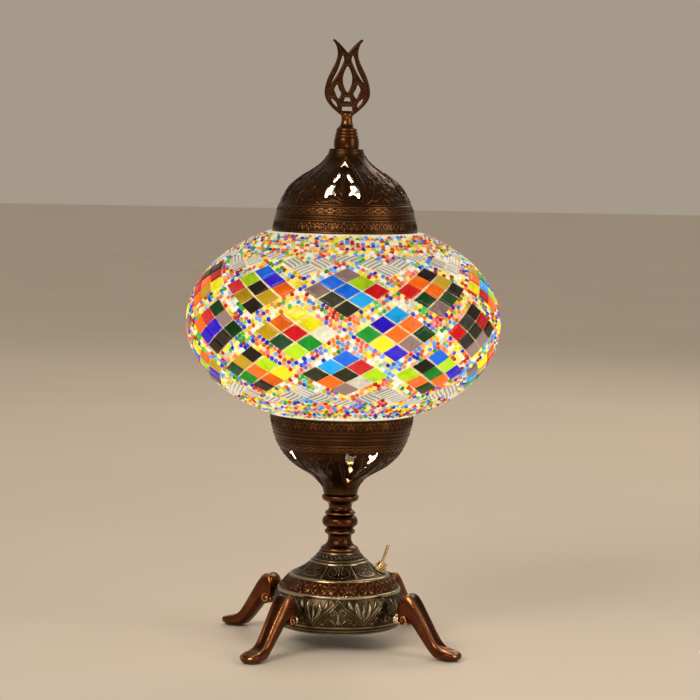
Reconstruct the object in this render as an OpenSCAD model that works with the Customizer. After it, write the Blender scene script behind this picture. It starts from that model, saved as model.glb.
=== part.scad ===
// Mosaic glass table lamp: a globe of glass tiles and beads between a pierced bronze cap and bowl,
// on a turned stem and a bell-shaped base with four cabriole legs.
// Millimetres. +Z is up, the origin is on the table on the lamp's axis, and the front faces -Y.
// Azimuths run from the front towards +X.

/* [Heights] */
// Height of the tulip's tips above the table
total_h = 385; // [380:1:390]
// Height of the cap's flat top, which the finial stands on
cap_top_z = 315.5; // [315:0.1:316]
// Height of the cap's rim
cap_rim_z = 263.3; // [263:0.1:263.6]
// Height of the globe's centre
globe_z = 206; // [205.5:0.1:206.5]
// Height of the bowl's rim
bowl_rim_z = 147.5; // [147.2:0.1:147.8]
// Height of the bowl's foot, where the stem starts
bowl_foot_z = 95.6; // [95.4:0.1:96]
// Height of the base's top, where the stem ends
base_top_z = 60; // [59.5:0.1:60.5]

/* [Globe] */
// Half width of the globe over its tiles
globe_a = 100; // [99:0.5:101]
// Half height that the globe's ellipse would have without its two openings
globe_c = 66; // [65.5:0.1:66.5]
// Thickness of the mosaic: grout bed, tiles and beads
mosaic_t = 3; // [2.8:0.1:3.2]
// Thickness of the blown glass
glass_t = 2.8; // [2:0.1:3]
// Outer radius of the glass necks that sit in the bowl and in the cap
neck_r = 41.5; // [41:0.1:42]
// Number of patches in each of the three rows
patches_n = 10; // [10:10]
// Azimuth of the first patch of the upper and lower rows
patch_az = 1.3; // [-5:0.1:5]
// Distance between two rows, along the surface
row_pitch = 27.5; // [27:0.1:28]

/* [Tiles] */
// Half of the width that a tile and its grout line take
cell_u = 9.1; // [8.8:0.1:9.2]
// Half of the height that a tile and its grout line take
cell_s = 6; // [5.8:0.1:6.1]
// Share of its cell that a tile fills
tile_fill = 0.9; // [0.85:0.01:0.92]
// Thickness of a tile
tile_t = 2; // [1.5:0.1:2]
// Most that a hand-set tile is turned from its place, in degrees
tile_turn = 1.6; // [0:0.1:2]

/* [Metal] */
// Thickness of the spun cap and bowl
spun_t = 1.6; // [1.2:0.1:2]
// Thickness of the cast base
cast_t = 2; // [1.8:0.1:2.2]
// Azimuth of the first of four pierced motifs on the cap
cap_motif_az = -3; // [-45:1:45]
// Azimuth of the first of four pierced motifs on the bowl
bowl_motif_az = 21; // [-45:1:45]

/* [Legs] */
// Azimuth of the front left leg
leg_az = -37; // [-42:1:-32]
// Radius at which the toes' pads stand
toe_r = 87; // [86:0.5:88]
// Thickness of the felt pads
pad_t = 1.2; // [1:0.1:1.5]

/* [Switch] */
// Azimuth of the toggle switch
switch_az = 84; // [80:1:95]
// Radius at which the switch's axis crosses the shoulder
switch_r = 25.4; // [25:0.1:26]
// Lean of the switch's axis from upright, outwards
switch_lean = 30; // [28:1:32]
// Angle of the lever from the switch's axis at either end of its throw
half_throw = 11; // [9:1:11]

/* [Rod and lampholder] */
// Radius of the hollow threaded rod
rod_r = 5; // [5:0.1:5.1]
// Radius of the rod's bore
rod_bore_r = 3.5; // [3:0.1:3.6]
// Radius of the bulb's glass
bulb_r = 22.5; // [20:0.5:23]

/* [Hidden] */

// Clearance between turned parts that are fitted over one another
slip = 0.05;
// Gap between parts that lift off and what they are lifted from
lift_gap = 0.3;
legs_n = 4;
motifs_n = 4;
sector = 360 / patches_n;
metal_fn = 96;
small_fn = 48;

bronze = [0.33, 0.19, 0.1];
copper = [0.45, 0.2, 0.1];
steel = [0.66, 0.66, 0.64];
brass = [0.76, 0.6, 0.3];
black = [0.08, 0.08, 0.08];

// ---- Curves ----

// Point between p1 and p2, at t from 0 to 1, on the smooth curve through p0, p1, p2 and p3
function curve_point(p0, p1, p2, p3, t) =
    0.5 * (2 * p1 + (p2 - p0) * t + (2 * p0 - 5 * p1 + 4 * p2 - p3) * t * t
        + (3 * p1 - p0 - 3 * p2 + p3) * t * t * t);

// Smooth open curve through the points of p, with n steps from each to the next
function smooth(p, n = 3) = concat(
    [for (i = [0:len(p) - 2], k = [0:n - 1])
        curve_point(p[max(i - 1, 0)], p[i], p[i + 1], p[min(i + 2, len(p) - 1)], k / n)],
    [p[len(p) - 1]]);

// Smooth closed curve through the points of p
function loop(p, n = 3) =
    [for (i = [0:len(p) - 1], k = [0:n - 1])
        curve_point(p[(i + len(p) - 1) % len(p)], p[i], p[(i + 1) % len(p)], p[(i + 2) % len(p)], k / n)];

function reversed(p) = [for (i = [len(p) - 1:-1:0]) p[i]];

// The same line moved by d to its left, with its ends kept level
function inset(p, d) =
    [for (i = [0:len(p) - 1])
        let (t = p[min(i + 1, len(p) - 1)] - p[max(i - 1, 0)], end = i == 0 || i == len(p) - 1)
        p[i] + d * (end ? [-1, 0] : [-t.y, t.x] / norm(t))];

// Points of p with their first coordinate negated
function flipped(p) = [for (q = p) [-q.x, q.y]];

// ---- The globe's ellipse ----

// Radius and height at angle t on the ellipse that lies d inside the tiles' outer faces
function globe_point(t, d = 0) = [(globe_a - d) * cos(t), globe_z + (globe_c - d) * sin(t)];

// Angle on that ellipse where it has height z
function globe_angle(z, d = 0) = asin((z - globe_z) / (globe_c - d));

// Degrees that one millimetre of surface takes at angle t
function degrees_per_mm(t) = 180 / PI / norm([globe_a * sin(t), globe_c * cos(t)]);

// Angle on the ellipse at distance s along the surface from the equator, walked in short steps
function walk(s, t = 0, steps = 24) =
    steps == 0 ? t
    : let (ds = s / steps, middle = t + degrees_per_mm(t) * ds / 2)
        walk(s - ds, t + degrees_per_mm(middle) * ds, steps - 1);

// Arc of the ellipse at depth d between two heights, from the lower to the upper
function globe_arc(z0, z1, d, n) =
    let (t0 = globe_angle(z0, d), t1 = globe_angle(z1, d))
    [for (k = [0:n]) globe_point(t0 + (t1 - t0) * k / n, d)];

// ---- Outlines ----

// Outside of the cap from its rim to its top
cap_outline = smooth([[46, cap_rim_z], [44.9, 268.5], [43.5, 275], [41.1, 282], [36.9, 289.5],
    [33.8, 293.3], [29.1, 297.1], [23.6, 300.9], [17.7, 304.7], [13.6, 308.5], [11.6, 312],
    [10.5, cap_top_z]]);
// Outside of the bowl from its foot to its rim
bowl_outline = smooth([[10.4, bowl_foot_z], [11.7, 100.3], [14.3, 104.2], [18.2, 108], [24.6, 111.9],
    [30.5, 115.7], [34.7, 119.6], [37.8, 123.5], [41.9, 131.2], [44.3, 138.8], [45.6, bowl_rim_z]]);
bowl_floor_z = 101;
// Outside of the base from its lip to its top
base_lip_z = 12;
base_outline = smooth([[38, base_lip_z], [40.3, 14.5], [41.7, 19.5], [41.8, 25], [41, 30], [38.9, 34.9],
    [37.2, 38], [33, 42.8], [29.6, 45.2], [25.6, 47.3], [21.3, 50], [18.2, 53], [15.3, 56],
    [13.1, 58.6], [12.6, base_top_z]]);
base_outline_max_r = max([for (q = base_outline) q.x]);
// Cast ribs round the base: radius, height and half thickness
base_ribs = [[30.9, 44.4, 0.7], [38.5, 35.6, 0.8], [18.3, 53, 0.5], [41.2, 17.4, 0.5]];
cap_ribs = [[42.1, 279.8, 0.6], [43.4, 275.3, 0.5], [44.3, 271.2, 0.5]];
bowl_ribs = [[40.1, 127.4, 0.6], [41.6, 131, 0.5], [43.2, 135.2, 0.5]];

// Heights of the motifs' tips
cap_tip_z = 308.6;
bowl_tip_z = 103.6;
// Points of a pierced motif, right-hand half: distance across, distance below the motif's tip
chevron = [[0, 0], [1.8, 2.6], [3.3, 4.6], [2, 4.2], [0, 2.8], [-2, 4.2], [-3.3, 4.6], [-1.8, 2.6]];
upper_lobe = [[2.1, 7.6], [3.6, 7.9], [4.4, 9.8], [6.2, 11.6], [6.6, 13.4], [5, 13.6], [3.9, 12.2],
    [2.4, 10.6]];
lower_claw = [[4.2, 15.2], [7.2, 14.6], [10, 17.2], [11.2, 20.4], [11, 23], [9.9, 23.2], [8.6, 21.4],
    [6.4, 20.8], [4.6, 22], [4, 20.6], [5.6, 18.6], [4.8, 16.8]];

// ---- Rod and fittings ----
rod_bottom_z = 46;
rod_top_z = 120;
washer_t = 1.5;
washer_r = 9;
nut_t = 5;
nut_r = 8.08;
base_inner_top_z = base_top_z - cast_t;
holder_z = 112.5;
insulator_z = 124;
thread_z = 128;
sleeve_z = 118;
sleeve_top_z = 152;
bulb_z = 188;
neck_bottom_z = 142.2;
neck_top_z = 268;
cover_t = 1.2;
cover_z = base_lip_z + 0.4;
cover_r = 35.8;
cover_screw_r = 1.5;
screw_head_r = 2.9;
post_r = 3;
post_ring_r = 30;
post_azimuths = [35, 155, 275];
post_top_z = 42.4;
cord_z = 20;
cord_bore_r = 3.1;
cord_hole_r = 4;
leg_screw_z = 21;
leg_screw_r = 1.5;
leg_screw_end = 57;

module about(azimuth) rotate([0, 0, azimuth]) children();

module spin_around(n, first = 0) for (k = [0:n - 1]) about(first + k * 360 / n) children();

// A solid of revolution from its half section
module turned(section, fn = metal_fn) rotate_extrude($fn = fn) polygon(section);

// Rounded ribs standing half out of a turned surface
module ribs(list) for (r = list) rotate_extrude($fn = metal_fn) translate([r.x, r.y]) circle(r.z, $fn = 24);

// Extrudes a plate drawn in X and Z, from near to far in front of the axis
module facing_front(near, far)
    rotate([90, 0, 0]) translate([0, 0, near]) linear_extrude(far - near) children();

// A washer or ring
module ring(outer, inner, z, t, fn = small_fn)
    translate([0, 0, z]) difference() {
        cylinder(h = t, r = outer, $fn = fn);
        translate([0, 0, -1]) cylinder(h = t + 2, r = inner, $fn = fn);
    }

// Hexagonal nut
module hex_nut(corner_r, bore, z, t)
    translate([0, 0, z]) difference() {
        cylinder(h = t, r = corner_r, $fn = 6);
        translate([0, 0, -1]) cylinder(h = t + 2, r = bore, $fn = small_fn);
    }

// Five cut-outs of one motif, with the motif's tip at height tip_z; up is 1 for the cap, -1 for the bowl
module motif_cuts(tip_z, up) {
    near = 6;
    far = 60;
    facing_front(near, far) translate([0, tip_z]) scale([1, -up]) polygon(chevron);
    for (shape = [upper_lobe, lower_claw], side = [1, -1])
        facing_front(near, far) translate([0, tip_z]) scale([side, -up]) polygon(shape);
}

// ---- Cap and finial ----

tulip_t = 4;
tulip_neck_r = 3.8;
tulip_bottom_z = 331;
stud_r = 2.5;
stud_bottom_z = 304;
stud_top_z = 337;
cap_top_t = 2;
finial_washer_t = 1;
finial_nut_t = 4;
finial_washer_z = cap_top_z - cap_top_t - finial_washer_t;

module finial_tulip() color(copper) {
    half = smooth([[3.6, 336], [7, 338.6], [11.4, 343], [13.9, 349], [14.1, 354], [12.4, 360.5],
        [9.4, 367.5], [7.1, 373], [6.9, 376.5], [7.9, 381], [9.2, total_h]]);
    notch = smooth([[9.2, total_h], [5.4, 380.5], [2.6, 377.6], [0, 375]]);
    slit = loop([[3.3, 373.6], [5.3, 370.2], [8.9, 362.5], [10.8, 356.2], [9.2, 357.6], [6.4, 363.6],
        [3.6, 369.6]]);
    diamond = loop([[6.4, 356.6], [9.2, 352.4], [7.2, 349], [3.9, 351.6]], 2);
    crescent = loop([[9.9, 348.6], [10.2, 346], [7.6, 343.2], [5.8, 342.8], [6.8, 345.4]], 2);
    almond = loop([[0, 367.6], [2.7, 361.6], [2.4, 356.6], [0, 351.8], [-2.4, 356.6], [-2.7, 361.6]], 2);
    difference() {
        union() {
            facing_front(-tulip_t / 2, tulip_t / 2) difference() {
                polygon(concat(half, notch, reversed(flipped(half)), [[0, 336]]));
                for (side = [1, -1], shape = [slit, diamond, crescent]) scale([side, 1]) polygon(shape);
                polygon(almond);
                translate([-2.1, 346]) square([4.2, 2.6]);
                translate([-3, 340.4]) square([6, 2.8]);
            }
            translate([0, 0, tulip_bottom_z]) cylinder(h = 7.6, r = tulip_neck_r, $fn = small_fn);
        }
        translate([0, 0, tulip_bottom_z - 1])
            cylinder(h = stud_top_z - tulip_bottom_z + 1.2, r = stud_r + slip, $fn = small_fn);
    }
}

module finial_collar() color(bronze) {
    bore = stud_r + slip;
    turned([[bore, cap_top_z], [7.9, cap_top_z], [8, 319], [7.6, 321.6], [7.1, 322.4], [7.5, 323.5],
        [6.9, 324.6], [7.2, 325.4], [6.1, 326.3], [6.3, 327], [6, 328.6], [4.6, 330], [4.2, tulip_bottom_z],
        [bore, tulip_bottom_z]], small_fn);
}

module finial_stud() color(steel)
    translate([0, 0, stud_bottom_z]) cylinder(h = stud_top_z - stud_bottom_z, r = stud_r, $fn = small_fn);

module finial_washer() color(steel) ring(7, stud_r + slip, finial_washer_z, finial_washer_t);

module finial_nut() color(steel)
    hex_nut(4.6, stud_r + slip, finial_washer_z - finial_nut_t, finial_nut_t);

module cap_dome() color(bronze) {
    top_inner_z = cap_top_z - cap_top_t;
    inner = [for (q = inset(cap_outline, spun_t)) if (q.y < top_inner_z - 2) q];
    difference() {
        union() {
            turned(concat(cap_outline,
                [[stud_r + slip, cap_top_z], [stud_r + slip, top_inner_z], [9, top_inner_z]],
                reversed(inner)));
            ribs(cap_ribs);
        }
        spin_around(motifs_n, cap_motif_az) motif_cuts(cap_tip_z, 1);
    }
}

felt_ring_r = 43;
felt_ring_z = 264.6;
felt_ring_h = 2.6;

// Felt that keeps the cap from rattling on the glass neck
module cap_felt_ring() color([0.45, 0.4, 0.33])
    ring(felt_ring_r, neck_r + lift_gap, felt_ring_z, felt_ring_h, metal_fn);

spring_ring_r = 40.4;
spring_ring_t = 0.8;
spring_ring_z = 273;
spring_ring_h = 5;

module cap_inner_ring() color(steel)
    ring(spring_ring_r, spring_ring_r - spring_ring_t, spring_ring_z, spring_ring_h, metal_fn);

module cap_springs() color(steel) {
    width = 8;
    strip_t = 0.6;
    reach = spring_ring_r - spring_ring_t - 0.3;
    path = smooth([[reach - 3, 256.5], [reach - 1.4, 262], [reach - 2.6, 267.5], [reach - 0.6, 272],
        [reach, 277.5]], 3);
    spin_around(3, 30) rotate([90, 0, 90]) translate([0, 0, -width / 2]) linear_extrude(width)
        polygon(concat(path, reversed(inset(path, strip_t))));
}

// ---- Globe ----

glass_outer_d = mosaic_t;
glass_inner_d = mosaic_t + glass_t;
neck_inner_r = neck_r - 2.6;
bed_inner_d = glass_outer_d - 0.05;
bed_outer_d = glass_outer_d - 0.8;
bed_top_z = cap_rim_z - 1.3;
bed_bottom_z = bowl_rim_z + 1.9;
band_h = 3.7;
bead_r = 1.4;

module glass_globe() color([0.95, 0.93, 0.85, 0.5]) {
    inner_rise = (globe_c - glass_inner_d) * sqrt(1 - pow(neck_inner_r / (globe_a - glass_inner_d), 2));
    outer_arc = globe_arc(bed_bottom_z + 0.4, bed_top_z - 0.1, glass_outer_d, 30);
    inner_arc = globe_arc(globe_z - inner_rise, globe_z + inner_rise, glass_inner_d, 30);
    turned(concat([[neck_r, neck_bottom_z], [neck_r, bed_bottom_z - 0.4]], outer_arc,
        [[neck_r, bed_top_z + 0.8], [neck_r, neck_top_z], [neck_inner_r, neck_top_z]],
        reversed(inner_arc), [[neck_inner_r, neck_bottom_z]]));
}

module grout_bed() color([0.95, 0.93, 0.85])
    turned(concat(globe_arc(bed_bottom_z + 0.6, bed_top_z - 0.3, bed_outer_d, 30),
        reversed(globe_arc(bed_bottom_z + 0.6, bed_top_z - 0.3, bed_inner_d, 30))));

// Smooth plaster edges where the mosaic ends under the cap and on the bowl
module rim_bands() color([0.97, 0.95, 0.88]) {
    turned(concat(globe_arc(cap_rim_z - band_h, cap_rim_z, 0.4, 4),
        [[44, cap_rim_z], [44.7, bed_top_z + 0.05], [46.9, bed_top_z + 0.05]],
        reversed(globe_arc(cap_rim_z - band_h, bed_top_z, bed_outer_d - 0.05, 4))));
    turned(concat(reversed(globe_arc(bowl_rim_z, bowl_rim_z + band_h, 0.4, 4)),
        [[42.3, bowl_rim_z], [42.9, bed_bottom_z - 0.05], [45.1, bed_bottom_z - 0.05]],
        globe_arc(bed_bottom_z, bowl_rim_z + band_h, bed_outer_d - 0.05, 4)));
}

// Rows of strung beads above and below the tiles
module bead_rings() color([0.8, 0.5, 0.2])
    for (s = [60.8, 64, 67.2, -60.8, -64, -67.2, -70.4])
        rotate_extrude($fn = metal_fn) translate(globe_point(walk(s), bed_outer_d - bead_r - 0.05))
            circle(bead_r, $fn = 24);

// Puts a tile drawn flat, with its outer face up, on the surface at an azimuth and a distance s above
// the equator
module on_globe(azimuth, s) {
    t = walk(s);
    slope = atan2(globe_a * sin(t), globe_c * cos(t));
    place = globe_point(t, 0.1);
    about(azimuth) translate([0, -place.x, place.y]) rotate([90 - slope, 0, 0]) translate([0, 0, -tile_t])
        linear_extrude(tile_t) children();
}

// Azimuth that a distance u across the surface takes at distance s above the equator
function azimuth_of(u, s) = u / globe_point(walk(s)).x * 180 / PI;

module rhombus(fill = tile_fill)
    polygon([[cell_u * fill, 0], [0, cell_s * fill], [-cell_u * fill, 0], [0, -cell_s * fill]]);

// The nine cells of a patch, from its top to its bottom, in half cells across and up
CELLS = [[0, 2], [-1, 1], [1, 1], [-2, 0], [0, 0], [2, 0], [-1, -1], [1, -1], [0, -2]];

// Colours of each patch's nine tiles, a letter a tile, for the upper, middle and lower row:
// A azure, C cyan, I indigo, R red, O orange, Y yellow, L lime, G gold, E green, F forest,
// K umber, T taupe, W clear, B olive
UPPER = ["TALTARBCB", "KOGROKFFT", "GOEYCARLO", "RYATKOLIG", "CRLOFTAYK", "ILYKRAGTE", "YTKAOEIRL",
    "LGIRYKCFO", "KBRROYRGO", "ALIRKOGGK"];
MIDDLE = ["CIOEOFYTI", "KBRRBKKTT", "OALYEIRKG", "TRYICOFLA", "GKAOLRTEY", "LICTYKORF", "AOGEKYILR",
    "RFYLATKOC", "FRTOIFIKK", "YOYGRWFEL"];
LOWER = ["ACRBBLOWT", "AKLLEIOOF", "OYRTGACKE", "LTOAIYRGK", "KCYROELTA", "GAFLKTOIR", "RLTYEKAOG",
    "EIKOTLYRC", "YAORLGTIK", "KGLFOYEOK"];

// All tiles of one colour, each turned a little from its place as a hand-set tile is
module tiles_of(letter)
    for (row = [1, 0, -1]) {
        patterns = row == 1 ? UPPER : row == 0 ? MIDDLE : LOWER;
        first = row == 0 ? patch_az + sector / 2 : patch_az;
        for (k = [0:patches_n - 1]) {
            turns = rands(-tile_turn, tile_turn, len(CELLS), 100 * (row + 2) + k);
            for (c = [0:len(CELLS) - 1])
                if (patterns[k][c] == letter) {
                    s = row * row_pitch + CELLS[c].y * cell_s;
                    on_globe(first + k * sector + azimuth_of(CELLS[c].x * cell_u, s), s)
                        rotate(turns[c]) rhombus();
                }
        }
    }

module tiles_azure() color([0.12, 0.5, 0.9]) tiles_of("A");
module tiles_cyan() color([0.1, 0.72, 0.92]) tiles_of("C");
module tiles_indigo() color([0.22, 0.08, 0.88]) tiles_of("I");
module tiles_red() color([0.8, 0.05, 0.12]) tiles_of("R");
module tiles_orange() color([1, 0.48, 0.06]) tiles_of("O");
module tiles_yellow() color([0.95, 0.93, 0.1]) tiles_of("Y");
module tiles_lime() color([0.68, 0.9, 0.15]) tiles_of("L");
module tiles_gold() color([0.82, 0.68, 0.06]) tiles_of("G");
module tiles_green() color([0.08, 0.7, 0.16]) tiles_of("E");
module tiles_forest() color([0.05, 0.34, 0.1]) tiles_of("F");
module tiles_umber() color([0.18, 0.13, 0.1]) tiles_of("K");
module tiles_taupe() color([0.7, 0.58, 0.54]) tiles_of("T");
module tiles_clear() color([0.93, 0.9, 0.83]) tiles_of("W");
module tiles_olive() color([0.33, 0.33, 0.24]) tiles_of("B");

// Zigzag of ribbed clear tiles above the upper row and below the lower row
module ribbed_tiles() color([0.85, 0.82, 0.78]) {
    tip_s = 43;
    peak_s = 54;
    peak_tile = [[8, 0], [5, 2.8], [-5, 2.8], [-8, 0], [-5, -2.8], [5, -2.8]];
    for (k = [0:patches_n - 1], end = [1, -1]) {
        azimuth = patch_az + (k + 0.5) * sector;
        for (cell = [[0, 0], [-1, 1], [1, 1]]) {
            s = end * (tip_s + cell.y * cell_s);
            on_globe(azimuth + azimuth_of(cell.x * cell_u, s), s) rhombus();
        }
        on_globe(azimuth + sector / 2, end * peak_s) polygon(peak_tile);
    }
}

// ---- Bowl, stem and rod ----

module lower_bowl() color(bronze) {
    bore = rod_r + slip;
    inner = [for (q = inset(bowl_outline, spun_t)) if (q.y > bowl_floor_z) q];
    difference() {
        union() {
            turned(concat([[bore, bowl_foot_z]], bowl_outline, reversed(inner),
                [[inner[0].x - 0.4, bowl_floor_z], [bore, bowl_floor_z]]));
            ribs(bowl_ribs);
        }
        spin_around(motifs_n, bowl_motif_az) motif_cuts(bowl_tip_z, -1);
    }
}

// Ring of felt inside the bowl that carries the globe's lower neck
module globe_gasket() color([0.3, 0.27, 0.24]) ring(42.5, neck_inner_r, neck_bottom_z - 1.8, 1.8, metal_fn);

module rod_washers() color(steel) {
    ring(washer_r, rod_r + slip, bowl_floor_z, washer_t);
    ring(washer_r, rod_r + slip, base_inner_top_z - washer_t, washer_t);
}

module rod_nuts() color(brass) {
    hex_nut(nut_r, rod_r + slip, bowl_floor_z + washer_t, nut_t);
    hex_nut(nut_r, rod_r + slip, base_inner_top_z - washer_t - nut_t, nut_t);
}

module threaded_rod() color(steel) ring(rod_r, rod_bore_r, rod_bottom_z, rod_top_z - rod_bottom_z);

stem_joint_z = 88;

module stem_collar() color(bronze) {
    bore = rod_r + slip;
    turned([[bore, stem_joint_z], [7.3, stem_joint_z], [7.9, 90], [9.6, 91.4], [11.2, 92.3], [11.8, 93.8],
        [11.7, 95], [10.9, bowl_foot_z], [bore, bowl_foot_z]], small_fn);
}

module stem_baluster() color(bronze) {
    bore = rod_r + slip;
    side = smooth([[11.9, base_top_z], [12.1, 60.8], [11.4, 62], [9.3, 63.3], [7.8, 65.6], [7.4, 68],
        [7.9, 70], [9.5, 71], [9.7, 72.4], [8.6, 73.6], [9, 74.6], [11, 76.4], [11.4, 78.4], [10.9, 80.4],
        [9.4, 81.9], [8.6, 82.6], [9.7, 83.4], [9.3, 84.6], [7.6, 86], [7.3, stem_joint_z]], 3);
    turned(concat([[bore, base_top_z]], side, [[bore, stem_joint_z]]), small_fn);
}

// ---- Lampholder and bulb ----

module holder_base() color(brass)
    turned([[rod_r + slip, holder_z], [9, holder_z], [10.5, holder_z + 2], [11.6, insulator_z - 3],
        [11.6, insulator_z], [7, insulator_z], [7, rod_top_z], [rod_r + slip, rod_top_z]], small_fn);

module holder_insulator() color([0.9, 0.88, 0.82])
    translate([0, 0, insulator_z]) cylinder(h = thread_z - insulator_z, r = 11.4, $fn = small_fn);

module holder_thread_shell() color(brass) ring(7.7, 7.1, thread_z, 21);

module holder_contact() color(brass) translate([0, 0, thread_z]) cylinder(h = 1.2, r = 3, $fn = small_fn);

module holder_sleeve() color(black) ring(13.5, 11.7, sleeve_z, sleeve_top_z - sleeve_z);

module bulb_tip() color(black)
    translate([0, 0, thread_z + 1.2]) cylinder(h = 2.3, r1 = 2.4, r2 = 6, $fn = small_fn);

bulb_cap_z = thread_z + 3.5;
bulb_glass_z = 153;

module bulb_screw_cap() color(steel)
    translate([0, 0, bulb_cap_z]) cylinder(h = bulb_glass_z - bulb_cap_z, r = 6.9, $fn = small_fn);

module bulb_glass() color([1, 0.97, 0.88]) {
    start = -58;
    neck = smooth([[6.9, bulb_glass_z], [7.6, 158], [9.4, 163.4],
        [bulb_r * cos(start), bulb_z + bulb_r * sin(start)]], 3);
    ball = [for (t = [start + 8:8:90]) [bulb_r * cos(t), bulb_z + bulb_r * sin(t)]];
    turned(concat([[0, bulb_glass_z]], neck, ball, [[0, bulb_z + bulb_r]]), small_fn);
}

// ---- Base ----

// Puts a child along the switch's axis, with its origin where that axis crosses the shoulder
shoulder_z = 47.5;
module along_switch()
    about(switch_az) translate([0, -switch_r, shoulder_z]) rotate([switch_lean, 0, 0]) children();

bushing_r = 3;

module base_bell() color(bronze) {
    bore = rod_r + slip;
    inner = [for (q = inset(base_outline, cast_t)) if (q.y < base_inner_top_z - 1) q];
    difference() {
        union() {
            turned(concat(base_outline,
                [[bore, base_top_z], [bore, base_inner_top_z], [10, base_inner_top_z]], reversed(inner)));
            ribs(base_ribs);
            for (a = post_azimuths) about(a) translate([0, -post_ring_r, cover_z + cover_t])
                cylinder(h = post_top_z - cover_z - cover_t, r = post_r, $fn = small_fn);
        }
        along_switch() translate([0, 0, -6]) cylinder(h = 12, r = bushing_r + slip, $fn = small_fn);
        spin_around(legs_n, leg_az) translate([0, 0, leg_screw_z]) rotate([90, 0, 0])
            cylinder(h = 50, r = leg_screw_r + 2 * slip, $fn = small_fn);
        about(180) translate([0, 0, cord_z]) rotate([90, 0, 0])
            cylinder(h = 50, r = cord_hole_r, $fn = small_fn);
        for (a = post_azimuths) about(a) translate([0, -post_ring_r, cover_z])
            cylinder(h = 12, r = cover_screw_r + slip, $fn = small_fn);
    }
}

module base_cover() color(black)
    difference() {
        translate([0, 0, cover_z]) cylinder(h = cover_t, r = cover_r, $fn = metal_fn);
        for (a = post_azimuths) about(a) translate([0, -post_ring_r, 0])
            cylinder(h = 30, r = cover_screw_r + 2 * slip, $fn = small_fn);
    }

cover_screw_head_h = 1.6;

module cover_screws() color(steel)
    for (a = post_azimuths) about(a) translate([0, -post_ring_r, 0]) {
        translate([0, 0, cover_z - cover_screw_head_h])
            cylinder(h = cover_screw_head_h, r = screw_head_r, $fn = small_fn);
        translate([0, 0, cover_z]) cylinder(h = 9, r = cover_screw_r, $fn = small_fn);
    }

// ---- Legs ----

// Side of a leg in its own upright plane: radius and height, from the hooked end over the knee to the toe
leg_over = smooth([[50.2, 30], [50.6, 34.6], [52.8, 38.1], [56.2, 39.4], [59.6, 38.2], [63, 34.4],
    [66.4, 29.6], [70.5, 23.6], [75, 16.8], [79.2, 11.4], [83.4, 8.7], [88, 8.3], [92, 7.3], [94.2, 5],
    [94, 2.6], [92.6, pad_t]], 2);
// The same side from the toe back under the leg and round the volute
leg_under = smooth([[79.5, pad_t], [77, 2.2], [73.5, 5.6], [69, 10.5], [64.5, 15.5], [60.6, 19.6],
    [57.4, 18.7], [54, 18.2], [51, 20.2], [50.3, 23.6], [50.5, 27]], 2);
// Half of a leg's width along its radius
leg_half = smooth([[48, 6], [52, 6.7], [60, 6.3], [72, 5.4], [80, 5.8], [87, 6.9], [92, 5.6],
    [94.4, 2.2]], 3);
// Ball that spaces a leg from the bell; the leg's screw runs through it and through its neck
ball_at = [45.4, leg_screw_z];
ball_r = 3;
ball_neck_r = 2.4;
ball_neck_from = base_outline_max_r - 1.5;
ball_neck_to = 52.4;

module leg(azimuth) color(copper) about(azimuth) difference() {
    union() {
        intersection() {
            rotate([90, 0, -90]) translate([0, 0, -10]) linear_extrude(20)
                polygon(concat(leg_over, leg_under));
            linear_extrude(60)
                polygon(concat([for (q = leg_half) [q.y, -q.x]],
                    reversed([for (q = leg_half) [-q.y, -q.x]])));
        }
        translate([0, -ball_at.x, ball_at.y]) sphere(r = ball_r, $fn = small_fn);
        translate([0, -ball_neck_from, ball_at.y]) rotate([90, 0, 0])
            cylinder(h = ball_neck_to - ball_neck_from, r = ball_neck_r, $fn = small_fn);
    }
    turned(concat([[0, base_lip_z]], [for (q = base_outline) [q.x + slip, q.y]], [[0, base_top_z]]));
    translate([0, 0, leg_screw_z]) rotate([90, 0, 0])
        cylinder(h = leg_screw_end + 0.5, r = leg_screw_r + slip, $fn = small_fn);
}

module leg_front_left() leg(leg_az);
module leg_front_right() leg(leg_az + 90);
module leg_back_right() leg(leg_az + 180);
module leg_back_left() leg(leg_az + 270);

leg_head_at = 36.3;
leg_head_h = 2.4;

module leg_screws() color(steel)
    spin_around(legs_n, leg_az) translate([0, 0, leg_screw_z]) rotate([90, 0, 0]) {
        translate([0, 0, leg_head_at]) cylinder(h = leg_head_h, r = screw_head_r, $fn = small_fn);
        translate([0, 0, leg_head_at + 1])
            cylinder(h = leg_screw_end - leg_head_at - 1, r = leg_screw_r, $fn = small_fn);
    }

module foot_pads() color([0.15, 0.13, 0.12])
    spin_around(legs_n, leg_az) translate([0, -toe_r, 0]) cylinder(h = pad_t, r = 5.2, $fn = small_fn);

// ---- Switch ----

pivot_h = 2;
bushing_h = 5.5;
ball_joint_r = 1.8;
bushing_bore_r = ball_joint_r + slip;
washer_bottom = 0.35;
pin_r = 0.6;
pin_half = 2.5;

// Cylinder of radius r along the lever's pivot, which runs across the switch's axis
module pivot_pin(r, half) rotate([0, 90, 0]) cylinder(h = 2 * half, r = r, center = true, $fn = small_fn);

module switch_bushing() color(brass) along_switch() difference() {
    turned([[bushing_bore_r, -5], [bushing_r, -5], [bushing_r, bushing_h], [2.5, bushing_h],
        [bushing_bore_r, pivot_h + 0.6]], small_fn);
    translate([0, 0, pivot_h]) pivot_pin(pin_r + slip, pin_half + 0.1);
}

module switch_washer() color(steel) along_switch() ring(4.7, bushing_r + slip, washer_bottom, 0.5);

module switch_nut() color(brass) along_switch() hex_nut(4.5, bushing_r + slip, washer_bottom + 0.5, 2);

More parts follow.
